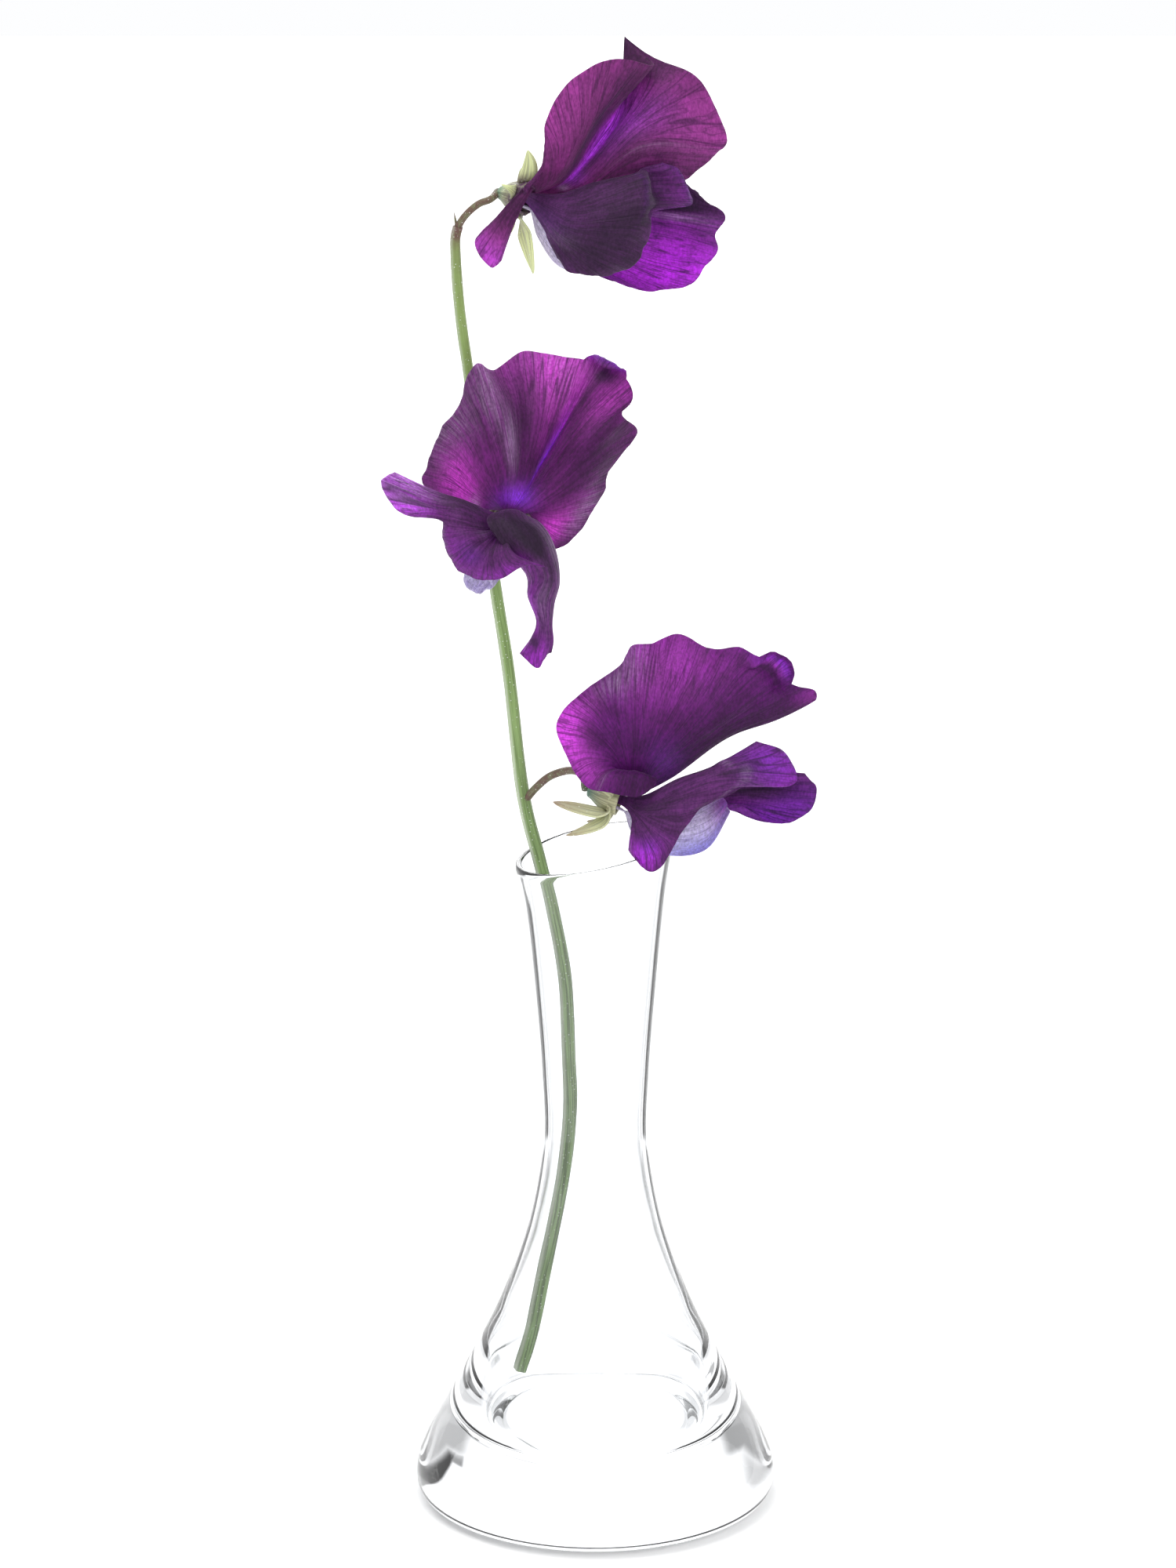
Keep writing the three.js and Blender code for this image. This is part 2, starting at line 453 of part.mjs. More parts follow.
// A sepal is a pointed blade that leaves the cup's wall and bends over to its tip.
function sepalGeometry(axis, outwards, tip) {
  const root = new THREE.Vector3()
    .addScaledVector(axis, -SEPAL_ROOT_DEPTH)
    .addScaledVector(outwards, SEPAL_ROOT_RADIUS);
  const bend = root.clone().addScaledVector(axis, 2).addScaledVector(outwards, 2.2);
  const spine = new THREE.QuadraticBezierCurve3(root, bend, tip);
  const across = new THREE.Vector3().crossVectors(axis, outwards);
  const grid = [[], [], []];
  for (let j = 0; j <= SEPAL_STEPS; j += 1) {
    const share = j / SEPAL_STEPS;
    const halfWidth = SEPAL_HALF_WIDTH * (1 - 0.85 * share ** 1.5);
    grid.forEach((column, i) => {
      column.push(spine.getPoint(share).addScaledVector(across, (i - 1) * halfWidth));
    });
  }
  return bladeGeometry(grid, PETAL_THICKNESS);
}

function calyxGeometry(flower) {
  const { axis, rise, side } = directions(flower);
  const cup = new THREE.LatheGeometry(
    CUP_PROFILE.map(([radius, height]) => new THREE.Vector2(radius, height)),
    CUP_SIDES,
  );
  cup.applyQuaternion(new THREE.Quaternion().setFromUnitVectors(new THREE.Vector3(0, 1, 0), axis));
  const sepals = flower.sepalTips.map((values) => {
    const tip = vector(values);
    const outwards = new THREE.Vector3()
      .addScaledVector(rise, tip.dot(rise))
      .addScaledVector(side, tip.dot(side))
      .normalize();
    return sepalGeometry(axis, outwards, tip);
  });
  return fuse([cup, ...sepals]);
}

function flowerFrame(flower) {
  const frame = new THREE.Group();
  frame.position.set(...flower.seat);
  frame.rotation.x = THREE.MathUtils.degToRad(90 - flower.tilt);
  frame.updateMatrixWorld(true);
  return frame;
}

function stemGeometry() {
  const taper = (share) => THREE.MathUtils.lerp(STEM_RADIUS_FOOT, STEM_RADIUS_TOP, share);
  const stalks = [stalkGeometry(smoothCurve(STEM_ROUTE.map(vector)), taper, STEM_SIDES, STEM_STEPS)];
  const bristle = (share) => BRISTLE_RADIUS * (1 - 0.7 * share);
  stalks.push(stalkGeometry(smoothCurve(BRISTLE_ROUTE.map(vector)), bristle, PEDICEL_SIDES, 3));
  for (const flower of FLOWERS) {
    const frame = flowerFrame(flower);
    const { axis } = directions(flower);
    const behind = (distance) => frame.localToWorld(axis.clone().multiplyScalar(-distance));
    const route = [
      ...flower.pedicelRoute.map(vector),
      behind(CUP_BASE + SEAT_GAP + 2),
      behind(CUP_BASE + SEAT_GAP),
    ];
    const radius = () => flower.pedicelRadius;
    stalks.push(stalkGeometry(smoothCurve(route), radius, PEDICEL_SIDES, PEDICEL_STEPS));
  }
  return fuse(stalks);
}

const stemInVase = new THREE.Group();
stemInVase.add(piece('vase', vaseGeometry(), glass));
stemInVase.add(piece('stem', stemGeometry(), stemGreen));
for (const flower of FLOWERS) {
  const frame = flowerFrame(flower);
  frame.add(piece(`calyx_${flower.name}`, calyxGeometry(flower), calyxGreen));
  for (const petal of flower.petals) {
    const colour = petalColours[petal.kind.split('_')[0]];
    frame.add(piece(`${petal.kind}_${flower.name}`, petalGeometry(flower, petal), colour));
  }
  stemInVase.add(frame);
}

export default stemInVase;
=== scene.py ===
"""A sweet pea flower stem standing in a clear glass bud vase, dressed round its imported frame.

The pieces are in metres, +Z up, +X to the right and +Y away from the front. Nets and routes are in
millimetres.
"""

import bpy
import numpy as np
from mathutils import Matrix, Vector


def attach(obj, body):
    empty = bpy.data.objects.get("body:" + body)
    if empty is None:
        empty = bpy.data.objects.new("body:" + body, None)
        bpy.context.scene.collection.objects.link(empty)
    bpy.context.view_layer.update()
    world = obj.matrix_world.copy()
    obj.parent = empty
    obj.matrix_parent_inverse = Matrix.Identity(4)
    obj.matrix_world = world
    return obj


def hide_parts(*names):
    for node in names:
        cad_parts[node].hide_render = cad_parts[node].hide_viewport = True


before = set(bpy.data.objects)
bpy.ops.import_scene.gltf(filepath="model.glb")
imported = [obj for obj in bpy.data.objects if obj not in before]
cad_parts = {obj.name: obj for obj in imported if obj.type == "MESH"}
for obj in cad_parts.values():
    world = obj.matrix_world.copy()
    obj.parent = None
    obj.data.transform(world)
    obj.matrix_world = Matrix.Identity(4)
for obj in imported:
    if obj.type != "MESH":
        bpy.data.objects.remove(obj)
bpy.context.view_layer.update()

bl_info = {
    "name": "Sweet pea in a bud vase",
    "version": (1, 0, 0),
    "blender": (4, 5, 0),
    "location": "3D View > Sidebar > Sweet pea",
    "description": "Builds a clear bud vase and a sweet pea stem with three veined, ruffled flowers",
    "category": "Add Mesh",
}

MM = 0.001  # one millimetre in metres

# Vase: outside and inside profiles as [radius, height], from the foot and the floor up to the rim. The flat
# foot runs out to the outside, and the floor of the hollow runs in from the inside. The rim's slope grows
# from its start up to the rim. The rim's half-circle stops short of level by its turn in radians.
VASE_OUTSIDE = [
    [29, 0], [32.9, 1.6], [34, 5], [32.4, 10.6], [26.3, 22.5], [18.7, 37.5],
    [12.9, 54], [10.1, 70], [10.4, 85], [11.7, 102], [13.3, 118], [15.1, 128.4],
]
VASE_INSIDE = [
    [19, 12], [22.4, 13.6], [23.2, 17.5], [22.6, 22.5], [20.4, 30], [17.1, 38],
    [11.7, 54], [8.9, 70], [9.2, 85], [10.5, 102], [12.1, 118], [13.9, 128.4],
]
VASE_FOOT = [[0, 0], [14, 0], [26, 0], [28.6, 0]]
VASE_FLOOR = [[18, 12], [9, 12], [0, 12]]
RIM_SLOPE = 0.2
RIM_SLOPE_START = 90
RIM_HEIGHT = 128.4
RIM_TURN = 0.12
OUTSIDE_ROWS, INSIDE_ROWS, RIM_ROWS = 190, 170, 9

# Stem: centre line from the cut end in the vase up to the joint of the top flower. Its ridges and its flat
# strip are turned about it by the ridges' turn in radians.
STEM_ROUTE = [
    [-15.6, 14.8, 16.8], [-12.7, 12.4, 27], [-9.5, 8.4, 44.2], [-6.3, 4.8, 62.1], [-4.9, 3.8, 75.6],
    [-5.1, 3.6, 86.5], [-5.8, 4, 101.7], [-8.1, 4.5, 114.7], [-10.4, 5, 124.3], [-13.5, 6, 137.4],
    [-16, 6, 160], [-18.4, 6, 176.5], [-20.5, 5.8, 192.9], [-22.9, 5, 215.2], [-24.2, 4.4, 225],
    [-25, 4, 233], [-25.4, 3.4, 241.7], [-24.9, 3.2, 244.8],
]
STEM_RADIUS_FOOT = 1.4
STEM_RADIUS_TOP = 0.85
BRISTLE_ROUTE = [[-24.9, 3.2, 243.6], [-25.3, 3.2, 245.6], [-25.6, 3.2, 247.4]]
BRISTLE_RADIUS = 0.5
STEM_RIDGES, RIDGE_TURN = 5, 0.6
STEM_RINGS, STEM_SIDES = 461, 36
STALK_RINGS, STALK_SIDES = 71, 20
BRISTLE_RINGS, BRISTLE_SIDES = 13, 12
STEM_SEED = 11

# Hairs: how many grow on the stem, on each flower stalk and along each sepal, their radius at the root, and
# how deep the roots sit.
STEM_HAIRS, STEM_HAIR_RADIUS = 240, 0.035
STALK_HAIRS, STALK_HAIR_RADIUS = 70, 0.025
FRINGE_HAIRS, FRINGE_HAIR_RADIUS = 34, 0.022
HAIR_SINK, FRINGE_SINK = 0.03, 0.04

# Zones of a green skin are its shares of pale, brown, teal and yellow. A hair is all pale.
HAIR_ZONE = (1, 0, 0, 0)
NO_PLACE = (0, 0)

# Calyx: the cup's profile as [radius, height along its axis] from its base round the rim to its floor.
CUP_PROFILE = [
    [0, -6.2], [1.1, -6], [1.6, -5], [2.5, -3.4], [2.95, -1.2], [3, 0],
    [2.5, 0], [2.45, -1.4], [2.1, -3], [1.2, -4], [0, -4.2],
]
CUP_BASE = 6.2
CUP_ROWS, CUP_SIDES = 81, 60
CUP_RIBS, CUP_RIB_HEIGHT = 10, 0.025
SEPAL_ROOT_RADIUS = 2.7
SEPAL_ROOT_DEPTH = 1.3
SEPAL_HALF_WIDTH = 1.45
SEPAL_THICKNESS = 0.45
SEPAL_BEND_RISE = 2
SEPAL_BEND_REACH = 2.2
SEPAL_ROWS, SEPAL_COLUMNS = 49, 15
CALYX_SEED = 23
SEAT_GAP = 0.3

# Petals: each one is a claw seated in the cup, a throat just outside it, and a blade.
CLAW_DEPTH = 2.2
CLAW_OFFSET = 1.5
CLAW_WIDTH = 1.4
THROAT_HEIGHT = 1.4
THROAT_OFFSET = 1.7
THROAT_WIDTH = 2

# Each kind of petal: faces along a rib, faces from one rib to the next, first random seed. The light that
# passes through a petal is brightened by its factor. A rib with more points than LONG_RIB gets twice the
# faces along it.
PETAL_GRIDS = {"standard": (84, 9, 100), "wing": (72, 14, 200), "keel": (56, 14, 300)}
RUFFLE_LENGTHS = (9.0, 5.3, 3.1)
PLEAT_LENGTHS = (1.35, 0.8)
WAVE_TURN = 6.283
RIB_SAMPLES = 60
LONG_RIB = 6
DARK_PETAL_THROUGH, KEEL_THROUGH = 2.3, 1.2
ZONE_KINDS = ("glow", "violet", "dark", "sheen")

# Camera: focal length and sensor width in millimetres, place and farthest distance in metres, and the
# degrees that it is turned up from looking straight down.
CAMERA_LENS = 151.45
CAMERA_SENSOR = 36
CAMERA_PLACE = (-0.0014, -1.17, 0.485)
CAMERA_REACH = 60
CAMERA_TILT = 73.6

# Stage: the floor's height in millimetres, just under the foot, the room's white, and the lights as
# [name, place, target, size, power] in metres and watts.
FLOOR_HEIGHT = -0.2
ROOM_WHITE = (0.985, 0.99, 1, 1)
SOFTBOXES = [
    ["softbox_top", (-0.5, -0.3, 1.9), (0, 0, 0.1), (1.6, 1.6), 26],
    ["softbox_back", (0.3, 1.9, 1.0), (0, 0, 0.15), (2.6, 1.6), 40],
    ["softbox_front", (0.9, -1.8, 1.3), (0, 0, 0.15), (1.2, 1.2), 18],
]


def both_sides(half):
    """A keel's net from its near half: the ribs before the lowest one come again after it, front to back."""
    return half + [[[right, up, -front] for right, up, front in rib] for rib in half[-2::-1]]


# A net gives a blade's ribs from one side to the other. Each rib has its points from the throat out
# to the margin, as [right, up, towards the front] from the mouth of the calyx.
TOP_STANDARD = [
    [[0.6, 1, 5.2], [-2, -4, 6], [-4.6, -11, 4]],
    [[0.2, 1.4, 5.6], [-3.6, -5, 6.2], [-6.6, -12.2, 4.4]],
    [[-0.2, 1.8, 5.6], [-5, -3, 6], [-9, -7.8, 4.2]],
    [[0.4, 2.4, 5.6], [-1.6, 1, 6], [-4, -1.5, 5]],
    [[1.4, 2.8, 5.2], [2, 3.4, 5.8], [2.8, 4.3, 6]],
    [[2.6, 3.2, 5], [3, 6, 6.5], [3.2, 9.5, 8]],
    [[4.5, 3.5, 4.5], [5.5, 9, 7.5], [3.6, 14.2, 9]],
    [[5.5, 3.8, 4], [8.2, 11, 7], [7, 20.3, 9]],
    [[6.2, 4, 3], [10.8, 13, 5.5], [13.1, 24.3, 7]],
    [[7, 4.2, 1.8], [12.8, 14.2, 2.5], [18.5, 25, 4]],
    [[7.8, 4.2, 0.5], [14.6, 14.2, -1.5], [23.2, 23.9, -1]],
    [[8.6, 3.8, 1.2], [17, 13.8, -0.4], [17.6, 29.4, -6]],
    [[9.4, 3.2, 1.8], [19, 13.6, 1.5], [29.6, 23, -4]],
    [[10, 2.6, 2], [20.5, 12.4, 2], [33.6, 17.6, -6]],
    [[10.2, 2, 2], [21, 10.4, 2], [36, 10.4, -7]],
    [[10, 1.2, 2], [20.4, 7.4, 2], [33.6, 7.3, -6]],
    [[8.6, 0, 1.4], [17, 3, 1], [27.6, 3, -4.6]],
]
TOP_NEAR_WING = [
    [[6, 1, 4], [12, 3, 5.5], [19, 4.6, 5], [24.5, 6.6, 1]],
    [[8, -1, 7], [15, 1, 8.5], [21, 3.2, 7], [28, 4.6, -1]],
    [[8, -3, 8], [15, -2, 10], [21.2, -0.5, 8], [29.8, -0.9, -1]],
    [[7.8, -3.8, 8.3], [14.6, -3.4, 10.4], [20.6, -2.4, 9.2], [23.4, -2.4, 6.5]],
    [[7.5, -4.6, 8.5], [14, -5, 10.5], [19.4, -5, 9.5], [22, -6.6, 6.5]],
    [[6.5, -6, 8], [12, -8, 10], [16.6, -9.5, 9], [20, -10.8, 6]],
    [[5, -6.6, 7], [9, -10, 8.5], [12.4, -12.4, 8], [14.5, -13.8, 6]],
    [[3.8, -6, 6], [5.6, -9, 7], [7.2, -11.2, 7], [8.4, -13, 6]],
    [[2.9, -5, 5], [3.6, -7, 5.6], [4.4, -8.8, 5.6], [5.2, -10.6, 5.2]],
]
TOP_FAR_WING = [
    [[6, 0, -3.6], [16, 2, -6.4], [27, 3.6, -8], [31.4, 0, -8]],
    [[7, -1, -4.4], [17, -1, -7.6], [27, -2, -8.5], [36, -3, -7]],
    [[7, -3, -5], [17, -4.5, -8], [26, -6.5, -7.6], [34.8, -9, -5]],
    [[6, -5, -5], [14, -8.5, -7], [22, -11.5, -6.6], [30.6, -12.8, -4]],
    [[5.2, -5.6, -5.4], [11, -11, -6.6], [18, -14, -6], [23.8, -15.8, -3]],
    [[4.4, -5.8, -5.2], [8.4, -10.6, -6], [12, -13.4, -5.4], [15.5, -14.6, -3.4]],
]
TOP_KEEL = both_sides([
    [[4, -3, 1.5], [9, -5, 2.2], [14, -7, 1.9], [18, -7.6, 0.8]],
    [[3, -5, 2.2], [8, -8, 3], [13.6, -9.4, 2.4], [18.6, -8.4, 0.9]],
    [[2, -6.8, 0], [6, -12.2, 0], [12.6, -12.8, 0], [19, -9.4, 0]],
])
MIDDLE_STANDARD = [
    [[-3.4, 1.4, 1.4], [-6.4, 0.6, 2], [-11, 2, 0], [-15, 5, -3]],
    [[-3.2, 2, 2.4], [-6.6, 3.6, 3.4], [-11, 6.5, 1.6], [-15.7, 8, -2.6]],
    [[-2.2, 2.6, 3.6], [-5.4, 6.6, 5], [-9.2, 12, 3.6], [-13, 14.6, -1.6]],
    [[-1.5, 3.2, 4], [-3, 8, 6.4], [-5.6, 15, 6.2], [-9.4, 20.6, 0.6]],
    [[-0.8, 3.6, 4], [-1, 9.4, 5.8], [-3.4, 18.4, 6.2], [-6.2, 27.6, 2]],
    [[0, 3.8, 3.6], [1, 9.8, 4], [0, 19.6, 3.4], [-2.8, 26.8, 1.4]],
    [[0.8, 3.8, 3], [2.6, 9.8, 2.2], [3.6, 20, 1], [2.6, 30.2, -3]],
    [[1.6, 3.6, 2.6], [4.2, 9.6, 0.8], [7.4, 19.4, 0], [9.6, 29.3, -3.4]],
    [[2.2, 3.4, 2.2], [5, 9, -0.2], [10, 18.4, -0.8], [14, 28.6, -2]],
    [[2.6, 3.2, 2], [5.8, 8.6, -0.6], [11.6, 18, -1.4], [18.4, 27.4, -1.4]],
    [[3, 3, 2.4], [6.8, 8.2, 0.8], [13.2, 17, 1], [21.4, 24.8, 0]],
    [[3.4, 2.6, 2.6], [7.6, 7.4, 2], [14.4, 15.4, 2.8], [22.3, 21.6, 1]],
    [[3.6, 2.2, 2.8], [8.4, 6.4, 2.8], [15, 13.2, 3.4], [20, 18.6, 1.4]],
    [[3.8, 1.6, 2.8], [9, 5, 3], [15.4, 10.4, 3], [23.2, 15.4, -1]],
    [[3.8, 1, 2.6], [8.8, 3, 2.8], [14, 6, 2], [18, 8.2, -2]],
    [[3.8, 1.2, 2.2], [7.6, 0.6, 2.6], [12, 1.4, 1.8], [16, 2.4, -1.6]],
    [[3.7, 0.9, 1.8], [6, -1.2, 2.2], [8.8, -3, 1.4], [11.6, -3.6, -0.4]],
    [[3.5, 0.7, 1.2], [4.8, -1.8, 1.4], [6.4, -4.4, 0.8], [8.4, -5.7, 0]],
]
MIDDLE_LEFT_WING = [
    [[-3, 1, 5], [-8, 3.2, 9], [-13.5, 5, 8.4], [-20.8, 8.3, 5]],
    [[-3.6, -0.4, 6.4], [-8.4, 1.6, 11], [-14, 2.6, 9.6], [-23.3, 6.2, 5]],
    [[-3.8, -1.4, 7], [-8.4, -0.4, 12], [-13.4, 1, 9], [-19.8, 1.2, 3]],
    [[-3.7, -2, 7.2], [-7.8, -1.6, 12.4], [-11.4, -1, 11], [-13.2, -0.2, 8.6]],
    [[-3.6, -2.4, 7.4], [-7.4, -2.8, 12.6], [-10.4, -3.4, 11.6], [-11.8, -3.6, 9.4]],
    [[-3, -3, 7.6], [-6.2, -5.2, 12.6], [-8.8, -7.6, 11.6], [-9.9, -8.6, 9.4]],
    [[-2.2, -3.2, 7.4], [-4.2, -6.2, 12], [-5.6, -9, 11.4], [-6.6, -11.1, 9]],
    [[-1.6, -3.2, 7], [-2.4, -6, 10.6], [-3, -8.8, 10.6], [-3.4, -10.8, 9]],
    [[-1, -3.2, 6.4], [-0.2, -5.4, 9.4], [0.8, -7.4, 9.8], [2, -9.2, 9.4]],
]
MIDDLE_RIGHT_WING = [
    [
        [-2.4, 0.8, 6], [-4, -0.8, 10.5], [-1, -5.2, 12.6], [2.4, -8, 12], [4.8, -10.2, 11.2],
        [3, -14, 10.4], [4.6, -18.6, 9.6], [4, -21.4, 9], [1.9, -24.4, 7.6],
    ],
    [
        [-0.4, 1.4, 6], [-0.6, 0, 10.4], [1.6, -3.4, 13], [4.6, -7.4, 12.6], [6.2, -10.8, 11.4],
        [4.8, -14.6, 11], [5.8, -18.8, 10.2], [5.6, -22, 9.6], [4.9, -27.1, 7],
    ],
    [
        [1.6, 1.2, 5.6], [2.4, -0.4, 9], [4.8, -2.6, 11], [7, -7, 11], [8, -11.2, 10.4],
        [6.8, -15.2, 10.4], [6.8, -19, 10.2], [7, -22.4, 9], [6.4, -25.6, 6.6],
    ],
    [
        [3.4, -0.2, 4], [5.6, -1, 5.6], [7.6, -3.8, 7], [8.8, -7.6, 7.6], [9.1, -11.8, 8],
        [8.2, -15.4, 8.6], [7.8, -19.2, 9.4], [8, -22, 8.4], [7.7, -24.4, 5.6],
    ],
]
MIDDLE_KEEL = [
    [[-1.4, -2.8, 3.6], [-3, -5.2, 5.8], [-4.2, -8, 7], [-5, -10.4, 7.4]],
    [[-2, -3.8, 3], [-4.8, -6.8, 4.6], [-6.8, -10, 5.4], [-6.6, -12.4, 6.6]],
    [[-0.4, -4.6, 1.8], [-2.4, -9, 2.4], [-4.6, -12.6, 3.8], [-5.2, -13.8, 6.2]],
    [[1.4, -3.8, 3], [0.8, -7, 4.6], [-1.6, -10.6, 5.4], [-3.2, -12.8, 6.6]],
    [[0.8, -2.8, 3.6], [-0.6, -5.4, 5.8], [-2.6, -8.4, 7], [-4.2, -10.8, 7.4]],
]
LOWER_STANDARD = [
    [[5.4, 3.4, 2.4], [6.6, 3.9, 4.8], [6.6, 2.6, 6.4]],
    [[3.6, 4.6, 3.4], [4.2, 4.4, 6.4], [3.2, 0.6, 7.4]],
    [[1.2, 5, 3.8], [-1, 4.6, 6.6], [-2.2, 1.3, 7]],
    [[-0.6, 5.6, 4.2], [-4, 5, 6.2], [-6.3, 2.5, 6]],
    [[-1, 7, 4.8], [-5.6, 8.6, 6.6], [-9.6, 7.6, 5.4]],
    [[-0.6, 8, 5.2], [-5.8, 12.6, 7.2], [-11.3, 14.5, 5]],
    [[0.4, 8.8, 5.6], [-2.6, 15.6, 8], [-6, 20.4, 6]],
    [[1.6, 9.2, 5.6], [-0.4, 16.8, 8.2], [0.2, 24.4, 6.6]],
    [[2.4, 9.2, 5.6], [1.6, 17.6, 8.2], [2, 28, 5.4]],
    [[3.4, 9.2, 5.4], [4.6, 18.2, 8], [6, 28.6, 4.6]],
    [[4.8, 9, 5], [8, 18.6, 7.4], [10.7, 30.3, 4]],
    [[6.2, 8.6, 4.4], [12, 18, 6.8], [16.6, 27.6, 4]],
    [[7.4, 8, 3.6], [15.8, 17.2, 5.8], [22.6, 28, 3]],
    [[8.4, 7.2, 2.6], [18.6, 16, 4.2], [29.6, 25.6, 2]],
    [[9, 6.2, 1.4], [20, 14.2, 2.2], [32, 22, 1]],
    [[9.4, 5.2, 0], [20.4, 12.8, 0], [36.2, 19.2, -0.6]],
    [[9.2, 5.2, -1.4], [20.4, 13, -2.2], [34.6, 18.6, -2.4]],
    [[8.8, 6.2, -2.8], [18.6, 14.4, -5], [28.6, 22, -5]],
    [[7, 8, -4.2], [13, 17.6, -7.2], [18, 26, -6]],
    [[4.4, 8.8, -5.2], [6.4, 17.8, -8.2], [6.6, 26.6, -7]],
    [[1.6, 8.4, -5.4], [-0.6, 15.6, -8.2], [-2.6, 20, -8]],
    [[-0.4, 6.8, -5], [-4.6, 10.4, -7], [-8, 12, -6]],
    [[0, 4.8, -4], [-3, 5.2, -6], [-5.6, 4.4, -6]],
]
LOWER_NEAR_WING = [
    [[5, 1, 3.6], [10.6, 3.8, 5], [17, 6, 6], [25, 10.7, 4]],
    [[5, 0, 4.8], [11, 3, 7], [18.6, 5.6, 8], [30, 8.8, 3]],
    [[5, -1, 5.4], [11, 1, 8], [18.6, 3.6, 8.6], [32, 3, 4]],
    [[4.6, -1.7, 6], [10, -0.6, 8.6], [16.8, 1, 8.6], [23.4, 2.3, 6.4]],
    [[4.2, -2.2, 6.2], [8.6, -2.2, 9], [12.4, -2, 9], [16, -0.8, 8]],
    [[3.7, -2.8, 6.3], [7, -4.8, 9.4], [9.4, -5.8, 9.4], [11.2, -6, 8.6]],
    [[3.2, -3.2, 6.3], [5.4, -6.8, 9.5], [7, -9.6, 9.5], [7.2, -12.6, 8.6]],
    [[2.6, -3.4, 6], [3.4, -7, 9], [3.7, -10, 9], [4, -12.4, 8.5]],
    [[2.1, -3.2, 5.4], [2, -5.4, 8], [1.7, -7.3, 8.4], [1.5, -9.2, 8]],
]
LOWER_FAR_WING = [
    [[6, 0.4, -3.4], [14, 3, -5], [24, 5.4, -5], [34, 4.8, -3]],
    [[6, -0.8, -4], [14, 1, -6], [25, 2.2, -5.6], [36.2, 2.2, -3]],
    [[5.6, -1.8, -4.4], [13, -1, -6.6], [23, -1, -5.8], [34.6, -2.4, -2.4]],
    [[5, -2.6, -4.6], [11, -3, -6.8], [19, -3.2, -6.2], [28.2, -4.9, -2]],
    [[4.4, -3.2, -4.4], [9, -5.4, -6.8], [14, -5.6, -6.6], [20.6, -3.6, -4.4]],
    [[3.8, -3.4, -4], [6.6, -6, -6.2], [9.6, -7, -6.6], [12.4, -7, -6.4]],
]
LOWER_KEEL = both_sides([
    [[5, -2.2, 2], [10, -2.6, 3.2], [15, -1.4, 2.6], [19, 0.6, 0.8]],
    [[4, -4.4, 2.8], [9.4, -6.4, 4.2], [15.6, -5.2, 3.4], [19.6, -0.8, 1]],
    [[2.6, -6.2, 0], [8.4, -10, 0], [15.8, -9, 0], [20, -2, 0]],
])

